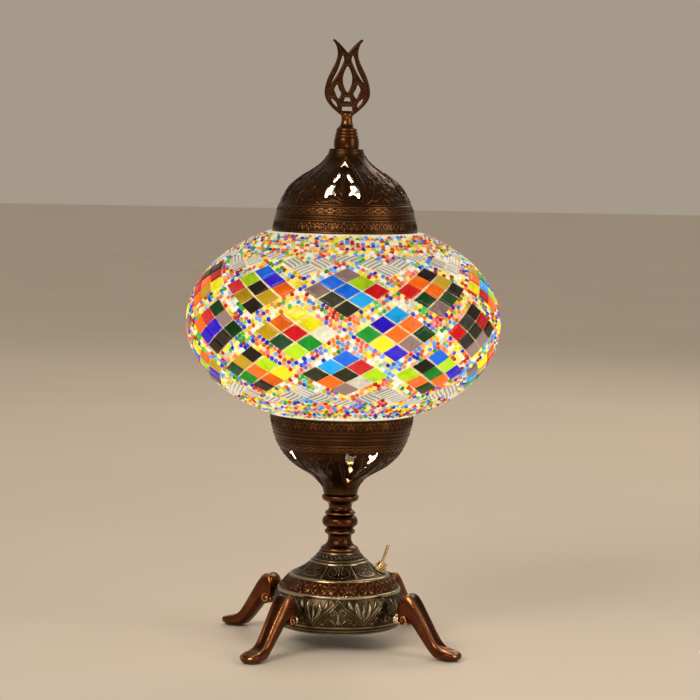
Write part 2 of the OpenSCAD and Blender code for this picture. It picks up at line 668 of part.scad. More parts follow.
// Moulded body with its three solder tags
module switch_body() color([0.1, 0.12, 0.3]) along_switch() {
    difference() {
        translate([-4, -3.5, -14]) cube([8, 7, 9]);
        translate([0, 0, -9]) cylinder(h = 5, r = 2.4, $fn = small_fn);
    }
    for (x = [-2.6, 0, 2.6]) translate([x - 0.4, -0.9, -17]) cube([0.8, 1.8, 3.1]);
}

lever_len = 14.4;
lever_tip_r = 1.15;

module switch_lever() color(brass)
    along_switch() translate([0, 0, pivot_h]) rotate([-half_throw, 0, 0]) {
        sphere(r = ball_joint_r, $fn = small_fn);
        pivot_pin(pin_r, pin_half);
        translate([0, 0, -5.4]) cylinder(h = 5.4, r = 0.8, $fn = small_fn);
        cylinder(h = lever_len, r1 = 0.85, r2 = lever_tip_r, $fn = small_fn);
        translate([0, 0, lever_len]) sphere(r = lever_tip_r, $fn = small_fn);
    }

// ---- Wiring ----

block_at = [-15, 8, cover_z + cover_t];
block_size = [20, 12, 10];

module terminal_block() color([0.9, 0.88, 0.82])
    translate([block_at.x - block_size.x / 2, block_at.y - block_size.y / 2, block_at.z]) {
        cube([block_size.x, block_size.y, block_size.z - 3]);
        for (k = [0:2]) translate([1.5 + 6.4 * k, 2, block_size.z - 3]) cube([4.2, block_size.y - 4, 3]);
    }

wire_r = 1;
WIRES = [
    [[-21.4, 8, 24], [-20.6, 7.6, 27], [-15, 6, 33], [-8, 3, 40], [-1.4, 0, 46], [-1.4, 0, 60],
        [-1.4, 0, 90], [-1.4, 0, 116], [-4, 0, 123.5]],
    [[-15, 8, 24], [-14.6, 7.4, 27], [-8, 4, 32], [-1, 1, 38], [1.4, 0, 46], [1.4, 0, 60],
        [1.4, 0, 90], [1.4, 0, 116], [4, 0, 123.5]],
    [[-8.6, 8, 24], [-8, 8.2, 27], [-1, 9, 28.6], [6, 7.6, 27], [11, 3, 27], [14.4, 1.1, 29.6]],
    [[-14, 1.3, 19], [-10.5, -5, 20], [0, -9, 22], [8, -7, 24], [14.6, -1.8, 28.4]]
];

function cross_ring(p, d, side, r, sides) =
    let (u = cross(d, side) / norm(cross(d, side)), v = cross(d, u))
    [for (k = [0:sides - 1]) p + r * (cos(k * 360 / sides) * u + sin(k * 360 / sides) * v)];

// A round wire swept along a list of points
module wire(points, r, sides = 8) {
    path = smooth(points, 3);
    last = len(path) - 1;
    rings = [for (i = [0:last])
        let (d = path[min(i + 1, last)] - path[max(i - 1, 0)])
        cross_ring(path[i], d / norm(d), [0.13, 1, 0.07], r, sides)];
    sides_faces = [for (i = [0:last - 1], k = [0:sides - 1])
        [i * sides + k, i * sides + (k + 1) % sides, (i + 1) * sides + (k + 1) % sides, (i + 1) * sides + k]];
    ends = [[for (k = [sides - 1:-1:0]) k], [for (k = [0:sides - 1]) last * sides + k]];
    polyhedron([for (ring_points = rings, q = ring_points) q], concat(sides_faces, ends));
}

module internal_wires() color([0.75, 0.2, 0.15]) for (w = WIRES) wire(w, wire_r);

grommet_inner = 36.6;
grommet_outer = 43.2;
grommet_flange_r = 5.2;

// Bushing that lines the cord's hole at the back of the base
module cord_grommet() color(black) about(180) translate([0, 0, cord_z]) rotate([90, 0, 0]) difference() {
    union() {
        translate([0, 0, grommet_inner]) cylinder(h = 1.4, r = grommet_flange_r, $fn = small_fn);
        translate([0, 0, grommet_inner])
            cylinder(h = grommet_outer - grommet_inner, r = cord_hole_r - slip, $fn = small_fn);
        translate([0, 0, grommet_outer - 1.2]) cylinder(h = 1.2, r = grommet_flange_r, $fn = small_fn);
    }
    translate([0, 0, 30]) cylinder(h = 20, r = cord_bore_r, $fn = small_fn);
}

finial_tulip();
finial_collar();
finial_stud();
finial_washer();
finial_nut();
cap_dome();
cap_felt_ring();
cap_inner_ring();
cap_springs();
glass_globe();
grout_bed();
rim_bands();
bead_rings();
ribbed_tiles();
tiles_azure();
tiles_cyan();
tiles_indigo();
tiles_red();
tiles_orange();
tiles_yellow();
tiles_lime();
tiles_gold();
tiles_green();
tiles_forest();
tiles_umber();
tiles_taupe();
tiles_clear();
tiles_olive();
lower_bowl();
globe_gasket();
rod_nuts();
rod_washers();
threaded_rod();
holder_base();
holder_insulator();
holder_sleeve();
holder_thread_shell();
holder_contact();
bulb_glass();
bulb_screw_cap();
bulb_tip();
stem_collar();
stem_baluster();
base_bell();
base_cover();
cover_screws();
leg_front_left();
leg_front_right();
leg_back_right();
leg_back_left();
leg_screws();
foot_pads();
switch_body();
switch_bushing();
switch_nut();
switch_washer();
switch_lever();
terminal_block();
internal_wires();
cord_grommet();
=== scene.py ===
"""Mosaic glass table lamp: the visible pieces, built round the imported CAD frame.

Shapes are worked out in millimetres and stored in metres. +Z is up, the front faces -Y, and
azimuths run in radians from the front towards +X.
"""
import itertools
import math
import random

import bmesh
import bpy
import numpy as np
from mathutils import Matrix, Vector, noise


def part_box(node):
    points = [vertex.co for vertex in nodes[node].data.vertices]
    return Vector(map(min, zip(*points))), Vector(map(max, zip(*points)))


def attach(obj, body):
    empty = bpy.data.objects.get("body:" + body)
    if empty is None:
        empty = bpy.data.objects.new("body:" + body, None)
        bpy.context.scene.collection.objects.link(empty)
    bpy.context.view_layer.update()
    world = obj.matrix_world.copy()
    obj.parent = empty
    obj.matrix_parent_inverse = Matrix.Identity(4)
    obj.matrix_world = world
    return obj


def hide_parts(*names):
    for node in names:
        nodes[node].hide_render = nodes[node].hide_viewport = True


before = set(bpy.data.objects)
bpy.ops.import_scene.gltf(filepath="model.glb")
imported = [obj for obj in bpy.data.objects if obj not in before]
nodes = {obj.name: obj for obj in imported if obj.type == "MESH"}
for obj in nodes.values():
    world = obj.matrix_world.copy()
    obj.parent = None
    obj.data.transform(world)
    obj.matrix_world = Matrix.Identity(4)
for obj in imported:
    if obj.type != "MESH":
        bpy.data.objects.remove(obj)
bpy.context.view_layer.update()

MM = 0.001
TAU = 2 * math.pi


def z_range(name):
    """Heights of a CAD node's lowest and highest points, in millimetres."""
    low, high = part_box(name)
    return (Vector(low) / MM).z, (Vector(high) / MM).z


# ---- Camera ----

LENS = 130.0
SENSOR = 36.0
CAMERA_AT = (0.0045, -1.6, 0.3267)
CAMERA_PITCH = math.radians(4.951)
CAMERA_ROLL = math.radians(1.0)

camera_data = bpy.data.cameras.new("camera")
camera_data.lens = LENS
camera_data.sensor_width = SENSOR
camera = bpy.data.objects.new("camera", camera_data)
camera.matrix_world = (Matrix.Translation(CAMERA_AT)
                       @ Matrix.Rotation(math.pi / 2 - CAMERA_PITCH, 4, "X")
                       @ Matrix.Rotation(CAMERA_ROLL, 4, "Z"))
bpy.context.collection.objects.link(camera)
bpy.context.scene.camera = camera
bpy.context.scene.view_settings.view_transform = "Standard"


# ---- Curves and reliefs ----

def smooth(points, steps, closed=False):
    """Smooth curve through points, with a number of steps from each to the next."""
    p = np.asarray(points, float)
    last = len(p) - 1
    out = []
    for i in range(len(p) if closed else last):
        near = [(i + k) % len(p) if closed else min(max(i + k, 0), last) for k in (-1, 0, 1, 2)]
        p0, p1, p2, p3 = p[near]
        for k in range(steps):
            t = k / steps
            out.append(0.5 * (2 * p1 + (p2 - p0) * t + (2 * p0 - 5 * p1 + 4 * p2 - p3) * t * t
                              + (3 * p1 - p0 - 3 * p2 + p3) * t * t * t))
    if not closed:
        out.append(p[-1])
    return np.array(out)


def resampled(path, step):
    """The same line with points about one step apart."""
    path = np.asarray(path, float)
    lengths = np.concatenate([[0], np.cumsum(np.linalg.norm(np.diff(path, axis=0), axis=1))])
    count = max(2, int(round(lengths[-1] / step)) + 1)
    s = np.linspace(0, lengths[-1], count)
    return np.stack([np.interp(s, lengths, path[:, k]) for k in range(path.shape[1])], axis=1)


def outward(path):
    """Unit normals to the right of a line: outwards, where a half section is drawn upwards."""
    t = np.gradient(path, axis=0)
    t /= np.linalg.norm(t, axis=1)[:, None] + 1e-12
    return np.stack([t[:, 1], -t[:, 0]], axis=1)


def eased(x):
    """0 below 0, 1 above 1, and a smooth rise between."""
    x = np.clip(x, 0, 1)
    return x * x * (3 - 2 * x)


def spiral(x, y, outer, inner, start, turns, count=20):
    """Points of a spiral that winds in towards its centre."""
    points = []
    for k in range(count):
        t = k / (count - 1)
        radius = outer + (inner - outer) * t
        angle = start + turns * TAU * t
        points.append((x + radius * math.cos(angle), y + radius * math.sin(angle)))
    return points


def stroke(points, start, end=None, middle=None):
    """A stroke of relief: its points, and its half width at each of them."""
    end = start if end is None else end
    last = len(points) - 1
    widths = []
    for k in range(last + 1):
        t = k / last
        width = start + (end - start) * t
        if middle is not None:
            width += (middle - (start + end) / 2) * math.sin(math.pi * t)
        widths.append(width)
    return points, widths


def raised(x, y, strokes, edge):
    """1 on a stroke, 0 away from every stroke, with a rounded edge between."""
    inside = np.full(x.shape, -1e6)
    for points, widths in strokes:
        for k in range(len(points) - 1):
            ax, ay = points[k]
            dx, dy = points[k + 1][0] - ax, points[k + 1][1] - ay
            t = np.clip(((x - ax) * dx + (y - ay) * dy) / (dx * dx + dy * dy + 1e-9), 0, 1)
            distance = np.hypot(x - ax - t * dx, y - ay - t * dy)
            inside = np.maximum(inside, widths[k] + (widths[k + 1] - widths[k]) * t - distance)
    return eased(inside / edge)


def folded(azimuth, count, first=0.0):
    """Distance in radians from the nearest of `count` evenly spaced azimuths."""
    sector = TAU / count
    return np.abs((azimuth - first + sector / 2) % sector - sector / 2)


def between(value, low, high, edge=0.25):
    """1 between two values and 0 outside them."""
    return eased((value - low) / edge) * eased((high - value) / edge)


# ---- Meshes ----

def grid_faces(rows, columns, closed_rows=False, closed_columns=True):
    """Quads of a grid of vertices, numbered row by row."""
    j, i = np.meshgrid(np.arange(rows if closed_rows else rows - 1),
                       np.arange(columns if closed_columns else columns - 1), indexing="ij")
    j1, i1 = (j + 1) % rows, (i + 1) % columns
    quads = np.stack([j * columns + i, j * columns + i1, j1 * columns + i1, j1 * columns + i],
                     axis=-1)
    return quads.reshape(-1, 4)


# How near two vertices are welded, and how short an edge is dissolved, in metres
WELD = 1e-6
SLIVER = 1e-7


class Parts:
    """Vertices, faces, and a relief and a shade for each vertex, gathered into one mesh."""

    def __init__(self):
        self.vertices = []
        self.faces = []
        self.relief = []
        self.shade = []
        self.materials = []
        self.count = 0

    def add(self, vertices, faces, relief=0.5, shade=0.5, material=0):
        vertices = np.asarray(vertices, float).reshape(-1, 3)
        self.vertices.append(vertices)
        self.faces.extend((np.asarray(f) + self.count).tolist() for f in faces)
        self.relief.append(np.broadcast_to(np.asarray(relief, float).ravel(), (len(vertices),)))
        self.shade.append(np.broadcast_to(np.asarray(shade, float).ravel(), (len(vertices),)))
        self.materials.extend(np.broadcast_to(material, (len(faces),)).tolist())
        self.count += len(vertices)

    def build(self, name, body, slot, materials, node=None, sharp=None, weld=True):
        """One object of all the parts, riding on a body and standing for a CAD node, if named."""
        mesh = bpy.data.meshes.new(name)
        mesh.from_pydata((np.concatenate(self.vertices) * MM).tolist(), [], self.faces)
        for key, values in (("relief", self.relief), ("shade", self.shade)):
            attribute = mesh.attributes.new(key, "FLOAT", "POINT")
            attribute.data.foreach_set("value", np.concatenate(values).astype(np.float32))
        for material in materials if isinstance(materials, list) else [materials]:
            mesh.materials.append(material)
        mesh.polygons.foreach_set("material_index", self.materials)
        if weld:
            work = bmesh.new()
            work.from_mesh(mesh)
            bmesh.ops.remove_doubles(work, verts=work.verts, dist=WELD)
            bmesh.ops.dissolve_degenerate(work, edges=work.edges, dist=SLIVER)
            work.to_mesh(mesh)
            work.free()
        mesh.validate()
        mesh.polygons.foreach_set("use_smooth", [True] * len(mesh.polygons))
        if sharp is not None:
            mesh.set_sharp_from_angle(angle=math.radians(sharp))
        piece = bpy.data.objects.new(name, mesh)
        bpy.context.collection.objects.link(piece)
        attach(piece, body)
        if node:
            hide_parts(node)
        return piece


def around(azimuth, radius, height):
    """Points at azimuths, radii and heights, as an array of (x, y, z)."""
    x, y = radius * np.sin(azimuth), -radius * np.cos(azimuth)
    return np.stack([x, y, np.broadcast_to(height, x.shape)], axis=-1)


def turned_grid(section, segments, swell=None):
    """A half section turned round Z; swell(azimuth, height, radius) adds to the radius."""
    section = np.asarray(section, float)
    azimuth = np.arange(segments) * TAU / segments
    radius = np.repeat(section[:, :1], segments, axis=1)
    height = np.repeat(section[:, 1:2], segments, axis=1)
    if swell is not None:
        radius = radius + swell(azimuth, height, radius)
    return around(azimuth, radius, height)


def placed(vertices, matrix):
    """Vertices moved by a matrix that is in millimetres."""
    m = np.array(matrix)
    return np.asarray(vertices).reshape(-1, 3) @ m[:3, :3].T + m[:3, 3]


def polygon_inside(x, y, polygon):
    """Whether each point lies in a polygon."""
    inside = np.zeros(x.shape, bool)
    n = len(polygon)
    for k in range(n):
        (ax, ay), (bx, by) = polygon[k], polygon[(k + 1) % n]
        crosses = (ay > y) != (by > y)
        with np.errstate(divide="ignore", invalid="ignore"):
            at = (bx - ax) * (y - ay) / (by - ay if by != ay else 1e-12) + ax
        inside ^= crosses & (x < at)
    return inside


def polygon_nearest(x, y, polygon):
    """Nearest point on a polygon's outline to each point, and its distance."""
    best = np.full(x.shape, 1e6)
    near_x, near_y = x.copy(), y.copy()
    n = len(polygon)
    for k in range(n):
        (ax, ay), (bx, by) = polygon[k], polygon[(k + 1) % n]
        dx, dy = bx - ax, by - ay
        t = np.clip(((x - ax) * dx + (y - ay) * dy) / (dx * dx + dy * dy + 1e-12), 0, 1)
        px, py = ax + t * dx, ay + t * dy
        distance = np.hypot(x - px, y - py)
        closer = distance < best
        best = np.where(closer, distance, best)
        near_x = np.where(closer, px, near_x)
        near_y = np.where(closer, py, near_y)
    return near_x, near_y, best


def from_cut(azimuth, cut_azimuth):
    """Angle from a cut-out's middle, between -pi and pi."""
    return (azimuth - cut_azimuth + math.pi) % TAU - math.pi


def snap_to_cuts(path, azimuth, radius, height, cuts, reach):
    """Moves the grid's points that lie within reach of a cut-out's outline onto that outline."""
    order = np.argsort(path[:, 1])
    margin = 2
    for cut_azimuth, polygon in cuts:
        offset = from_cut(azimuth, cut_azimuth)
        x = radius * np.sin(offset)
        low, high = polygon.min(axis=0) - margin, polygon.max(axis=0) + margin
        near = ((np.abs(offset) < 1) & (x > low[0]) & (x < high[0])
                & (height > low[1]) & (height < high[1]))
        px, py, distance = polygon_nearest(x[near], height[near], polygon)
        pull = distance < reach
        new_height = np.where(pull, py, height[near])
        new_radius = np.interp(new_height, path[order, 1], path[order, 0])
        new_x = np.where(pull, px, x[near])
        new_azimuth = np.arcsin(np.clip(new_x / new_radius, -1, 1)) + cut_azimuth
        azimuth[near] = np.where(pull, new_azimuth, azimuth[near])
        radius[near] = np.where(pull, new_radius, radius[near])
        height[near] = new_height


def kept_cells(azimuth, radius, height, cuts):
    """Which cells of a shell's grid are kept, with the cut-outs left out."""
    def corners(values):
        right = np.roll(values, -1, axis=1)
        return np.stack([values[:-1], right[:-1], right[1:], values[1:]])

    turned_to, r, z = corners(azimuth), corners(radius), corners(height)
    keep = np.ones(z.shape[1:], bool)
    for cut_azimuth, polygon in cuts:
        offset = from_cut(turned_to, cut_azimuth)
        x = (r * np.sin(offset)).mean(axis=0)
        near = np.abs(offset).max(axis=0) < 1
        keep &= ~(near & polygon_inside(x, z.mean(axis=0), polygon))
    return keep


# How far the metal turns in along a cut-out's edge, over what width, and how many steps of the grid
# away a point is still pulled onto the edge
ROLL_DEPTH = 0.25
ROLL_WIDTH = 0.5
SNAP = 0.55
INSIDE_TONE = 0.3
RIM_TONE = 0.45


def shell_parts(outline, wall, segments, step, relief, top=None, bottom=None, cuts=(), zone=(0, 0)):
    """Parts of a turned shell with relief on its outside and cut-outs through its wall.

    outline runs upwards. top or bottom closes that end, with the (radius, height) points of a line
    from the outside to the inside; the other end is a plain rim. relief(azimuth, height, radius)
    gives the relief's height in mm and its tone. cuts are (azimuth, polygon) pairs, with each
    polygon in distance across and height. The inside gets material 1, and the outside between the
    two heights of zone gets material 2.
    """
    path = resampled(outline, step)
    normals = outward(path)
    rows = len(path)
    azimuth = np.tile(np.arange(segments) * TAU / segments, (rows, 1))
    radius = np.repeat(path[:, :1], segments, axis=1)
    height = np.repeat(path[:, 1:2], segments, axis=1)
    snap_to_cuts(path, azimuth, radius, height, cuts, SNAP * step)
    lift, tone = relief(azimuth, height, radius)
    for cut_azimuth, polygon in cuts:
        offset = from_cut(azimuth, cut_azimuth)
        x = radius * np.sin(offset)
        near = np.abs(offset) < 1
        distance = np.full(x.shape, 1e6)
        distance[near] = polygon_nearest(x[near], height[near], polygon)[2]
        lift = lift - ROLL_DEPTH * eased(1 - distance / ROLL_WIDTH)
    inside_z = height - wall * normals[:, 1:2]
    inside_z = np.minimum(inside_z, top[-1][1]) if top else np.maximum(inside_z, bottom[-1][1])
    outside = around(azimuth, radius + lift * normals[:, :1], height + lift * normals[:, 1:2])
    inside = around(azimuth, radius - wall * normals[:, :1], inside_z)

    keep = kept_cells(azimuth, radius, height, cuts)
    size = rows * segments
    skin = grid_faces(rows, segments).reshape(rows - 1, segments, 4)[keep]

    def edge_wall(a, b):
        return [a, b, b + size, a + size]

    walls = []
    right = np.roll(keep, -1, axis=1)
    for j, i in zip(*np.nonzero(keep != right)):
        a, b = (row * segments + (i + 1) % segments for row in (j, j + 1))
        walls.append(edge_wall(a, b) if right[j, i] else edge_wall(b, a))
    above = np.vstack([keep[1:], keep[-1:]])
    for j, i in zip(*np.nonzero(keep != above)):
        a, b = ((j + 1) * segments + column % segments for column in (i, i + 1))
        walls.append(edge_wall(b, a) if above[j, i] else edge_wall(a, b))
    cell_z = height[:-1][keep]
    in_zone = (cell_z > zone[0]) & (cell_z < zone[1])
    parts = Parts()
    parts.add(np.concatenate([outside.reshape(-1, 3), inside.reshape(-1, 3)]),
              np.concatenate([skin, skin[:, ::-1] + size, np.array(walls, int).reshape(-1, 4)]),
              relief=np.concatenate([tone.ravel(), np.full(size, INSIDE_TONE)]),
              material=np.concatenate([2 * in_zone, np.ones(len(skin), int),
                                       np.zeros(len(walls), int)]))
    for end, closing in ((rows - 1, top), (0, bottom)):
        between_rims = [around(azimuth[end], r, z) for r, z in closing or []]
        rings = [outside[end]] + between_rims + [inside[end]]
        strip = grid_faces(len(rings), segments)
        parts.add(np.stack(rings), strip if end else strip[:, ::-1], relief=RIM_TONE)
    return parts


# ---- Materials ----

def new_material(name):
    material = bpy.data.materials.new(name)
    material.use_nodes = True
    tree = material.node_tree
    return material, tree, tree.nodes["Principled BSDF"]


def add_node(tree, kind, **settings):
    node = tree.nodes.new(kind)
    for key, value in settings.items():
        if key in node.inputs:
            node.inputs[key].default_value = value
        else:
            setattr(node, key, value)
    return node


def position(tree):
    return add_node(tree, "ShaderNodeTexCoord").outputs["Object"]


def noise_at(tree, scale, detail=3.0, roughness=0.55):
    node = add_node(tree, "ShaderNodeTexNoise", Scale=scale, Detail=detail, Roughness=roughness)
    tree.links.new(position(tree), node.inputs["Vector"])
    return node.outputs["Fac"]


def attribute(tree, name):
    return add_node(tree, "ShaderNodeAttribute", attribute_name=name).outputs["Fac"]


def maths(tree, operation, *values, clamp=False):
    node = add_node(tree, "ShaderNodeMath", operation=operation, use_clamp=clamp)
    for socket, value in zip(node.inputs, values):
        if isinstance(value, (int, float)):
            socket.default_value = value
        else:
            tree.links.new(value, socket)
    return node.outputs[0]


def ramp(tree, factor, stops):
    """Colours or grey values along a factor."""
    node = add_node(tree, "ShaderNodeValToRGB")
    elements = node.color_ramp.elements
    while len(elements) < len(stops):
        elements.new(0.5)
    for element, (at, value) in zip(elements, stops):
        element.position = at
        element.color = (*value, 1) if isinstance(value, tuple) else (value, value, value, 1)
    tree.links.new(factor, node.inputs["Fac"])
    return node.outputs["Color"]


def paint(tree, bsdf, socket, factor, stops):
    """Makes a shader socket follow colours or grey values along a factor."""
    tree.links.new(ramp(tree, factor, stops), bsdf.inputs[socket])


def set_even(bsdf, values):
    """Sets shader sockets that are the same all over the surface."""
    for socket, value in values.items():
        bsdf.inputs[socket].default_value = value


def bumped(tree, bsdf, height, distance, strength=1.0):
    node = add_node(tree, "ShaderNodeBump", Distance=distance, Strength=strength)
    tree.links.new(height, node.inputs["Height"])
    tree.links.new(node.outputs["Normal"], bsdf.inputs["Normal"])


# How much the clouds shift the wear of a relief, from one extreme to the other
WEAR_SPREAD = 0.34


def relief_metal(name, recess, field, crest, rough):
    """Cast or spun metal: dark patina in the recesses, rubbed bright on the crests, following the
    relief tone; on the legs that tone also carries painted shade underneath and a painted highlight
    along the top.
    """
    material, tree, bsdf = new_material(name)
    cloud = noise_at(tree, 90.0, 5.0)
    wear = maths(tree, "MULTIPLY_ADD", cloud, WEAR_SPREAD, -WEAR_SPREAD / 2)
    wear = maths(tree, "ADD", wear, attribute(tree, "relief"), clamp=True)
    paint(tree, bsdf, "Base Color", wear, [(0.12, recess), (0.48, field), (0.92, crest)])
    paint(tree, bsdf, "Roughness", wear, [(0.1, rough[0]), (0.9, rough[1])])
    set_even(bsdf, {"Metallic": 1.0})
    bumped(tree, bsdf, noise_at(tree, 900.0, 2.0), 0.00006)
    return material


def clouded(name, scale, detail, painted, even=None, bump=None):
    """A material with a cloudy finish.

    painted gives the dark and the light value of each socket that follows the clouds, even gives
    the sockets that are the same all over, and bump is a fine noise's scale, detail and depth.
    """
    material, tree, bsdf = new_material(name)
    cloud = noise_at(tree, scale, detail)
    for socket, (dark, light) in painted.items():
        paint(tree, bsdf, socket, cloud, [(0.3, dark), (0.7, light)])
    set_even(bsdf, even or {})
    if bump:
        bumped(tree, bsdf, noise_at(tree, *bump[:2]), bump[2])
    return material


def plain_metal(name, colour, low, high):
    """Turned or rolled metal with a slightly uneven finish."""
    dark = tuple(0.62 * c for c in colour)
    return clouded(name, 400.0, 4.0, {"Base Color": (dark, colour), "Roughness": (high, low)},
                   {"Metallic": 1.0}, (1200.0, 2.0, 0.00002))


def matt(name, dark, light, rough, scale, depth):
    """Rubber, felt, moulded plastic or porcelain."""
    painted = {"Base Color": (dark, light), "Roughness": (rough, rough * 0.8)}
    return clouded(name, scale, 4.0, painted, bump=(scale, 4.0, depth))


# Height of the bulb's light, and how far above and below it the globe is dimmest, in mm
GLOW_Z = 192.0
GLOW_REACH = 70.0


def glow(tree, bsdf, strength, low, high):
    """Emission that is brightest at the bulb's height and dims above and below it."""
    split = add_node(tree, "ShaderNodeSeparateXYZ")
    tree.links.new(position(tree), split.inputs[0])
    away = maths(tree, "ABSOLUTE", maths(tree, "SUBTRACT", split.outputs["Z"], GLOW_Z * MM))
    share = ramp(tree, maths(tree, "DIVIDE", away, GLOW_REACH * MM), [(0.0, high), (1.0, low)])
    tree.links.new(maths(tree, "MULTIPLY", share, strength), bsdf.inputs["Emission Strength"])


def lit_glass(name, colour, strength, streak=160.0, rough=0.16, spread=0.5, body=0.12, ribs=0.0,
              paling=0.05):
    """Coloured glass with light behind it: mottled, and a little different from piece to piece."""
    material, tree, bsdf = new_material(name)
    mottle = noise_at(tree, streak, 4.0, 0.6)
    shade = maths(tree, "MULTIPLY_ADD", attribute(tree, "shade"), spread, 0.5 - spread / 2)
    blend = maths(tree, "ADD", *(maths(tree, "MULTIPLY", part, 0.75) for part in (mottle, shade)))
    blend = maths(tree, "SUBTRACT", blend, 0.25, clamp=True)
    # Painted light and shade on ribbed glass: the glow and colour are lighter on each rib and
    # darker in each groove.
    if ribs:
        rib_light_and_shade = maths(tree, "SUBTRACT", attribute(tree, "relief"), 0.5)
        blend = maths(tree, "ADD", blend, maths(tree, "MULTIPLY", rib_light_and_shade, ribs), clamp=True)
    dark = tuple(0.42 * c for c in colour)
    pale = tuple(min(1.0, c + paling * (1 - c)) for c in colour)
    paint(tree, bsdf, "Emission Color", blend, [(0.15, dark), (0.5, colour), (0.9, pale)])
    glow(tree, bsdf, strength, 0.72, 1.12)
    own = [(at, tuple(body * share * c for c in colour)) for at, share in ((0.2, 0.5), (0.9, 1))]
    paint(tree, bsdf, "Base Color", blend, own)
    set_even(bsdf, {"Roughness": rough, "Specular IOR Level": 0.22, "Coat Weight": 0.12,
                    "Coat Roughness": 0.08})
    bumped(tree, bsdf, noise_at(tree, 420.0, 3.0), 0.00025, 0.6)
    return material


def lit_plaster(name, dark, light, strength, scale, depth):
    """Cream grout or plaster that the light inside shows through."""
    material, tree, bsdf = new_material(name)
    cloud = noise_at(tree, scale, 5.0)
    paint(tree, bsdf, "Base Color", cloud, [(0.3, dark), (0.7, light)])
    paint(tree, bsdf, "Emission Color", cloud, [(0.25, dark), (0.75, light)])
    glow(tree, bsdf, strength, 0.55, 1.0)
    set_even(bsdf, {"Roughness": 0.75})
    bumped(tree, bsdf, noise_at(tree, 700.0, 4.0), depth)
    return material


bronze = relief_metal(
    "antiqued_bronze", (0.014, 0.007, 0.004), (0.07, 0.029, 0.011), (0.42, 0.18, 0.065),
    (0.38, 0.25))
olive_bronze = relief_metal(
    "silvered_bronze", (0.016, 0.01, 0.005), (0.075, 0.052, 0.028), (0.74, 0.64, 0.44),
    (0.34, 0.18))
stem_bronze = relief_metal(
    "stem_bronze", (0.014, 0.006, 0.003), (0.075, 0.027, 0.011), (0.46, 0.2, 0.075),
    (0.32, 0.18))
leg_copper = relief_metal(
    "antiqued_copper", (0.03, 0.009, 0.004), (0.14, 0.044, 0.017), (0.72, 0.32, 0.12),
    (0.26, 0.14))
brass = plain_metal("polished_brass", (0.83, 0.6, 0.28), 0.16, 0.3)
steel = plain_metal("zinc_steel", (0.6, 0.6, 0.58), 0.28, 0.42)
black_sheet = matt("black_sheet", (0.012, 0.012, 0.012), (0.03, 0.03, 0.03), 0.5, 1200.0, 0.00004)
# Painted light: the insides of the cap and bowl glow cream, as if lit by the bulb, and show through
# the pierced motifs.
lit_inside = clouded(
    "lit_inside", 150.0, 3.0,
    {"Base Color": ((0.5, 0.4, 0.28), (0.66, 0.56, 0.42)),
     "Emission Color": ((0.86, 0.72, 0.5), (1.0, 0.93, 0.76))},
    {"Roughness": 0.6, "Emission Strength": 1.1})

# Colours of lit glass, in linear light, with how strongly each glows
GLASS = {
    "azure": ((0.004, 0.14, 0.74), 0.95),
    "cyan": ((0.004, 0.4, 0.86), 0.95),
    "indigo": ((0.03, 0.003, 0.62), 0.85),
    "red": ((0.66, 0.004, 0.008), 0.95),
    "orange": ((1.0, 0.15, 0.002), 1.0),
    "yellow": ((1.0, 0.84, 0.004), 0.95),
    "lime": ((0.52, 0.8, 0.004), 0.95),
    "gold": ((0.62, 0.36, 0.004), 0.9),
    "green": ((0.006, 0.32, 0.02), 0.9),
    "forest": ((0.001, 0.055, 0.006), 0.8),
    "umber": ((0.022, 0.011, 0.005), 0.7),
    "taupe": ((0.36, 0.22, 0.18), 0.85),
    "clear": ((0.92, 0.84, 0.6), 1.0),
    "olive": ((0.04, 0.036, 0.014), 0.75),
}
# The same for the beads, and each colour's share in a hundred
BEADS = {
    "red": ((0.74, 0.012, 0.006), 1.0, 13),
    "orange": ((1.0, 0.19, 0.006), 1.0, 16),
    "yellow": ((1.0, 0.74, 0.01), 1.0, 23),
    "cobalt": ((0.006, 0.03, 0.6), 0.95, 12),
    "sky": ((0.06, 0.34, 0.84), 0.95, 10),
    "green": ((0.03, 0.45, 0.03), 0.95, 7),
    "crystal": ((0.86, 0.84, 0.66), 1.0, 19),
}
tile_glass = {name: lit_glass("glass_" + name, colour, strength)
              for name, (colour, strength) in GLASS.items()}
bead_glass = {name: lit_glass("bead_" + name, colour, strength, streak=500.0, rough=0.12,
                              spread=0.9, body=0.2, paling=0.3)
              for name, (colour, strength, share) in BEADS.items()}
grout = lit_plaster("cream_grout", (0.42, 0.31, 0.13), (0.86, 0.78, 0.5), 0.68, 240.0, 0.0003)
plaster = lit_plaster("rim_plaster", (0.72, 0.72, 0.58), (0.9, 0.92, 0.78), 0.4, 200.0, 0.0002)
ribbed = lit_glass("ribbed_clear", (0.76, 0.68, 0.53), 0.98, streak=90.0, rough=0.1, spread=0.6,
                   ribs=1.1)

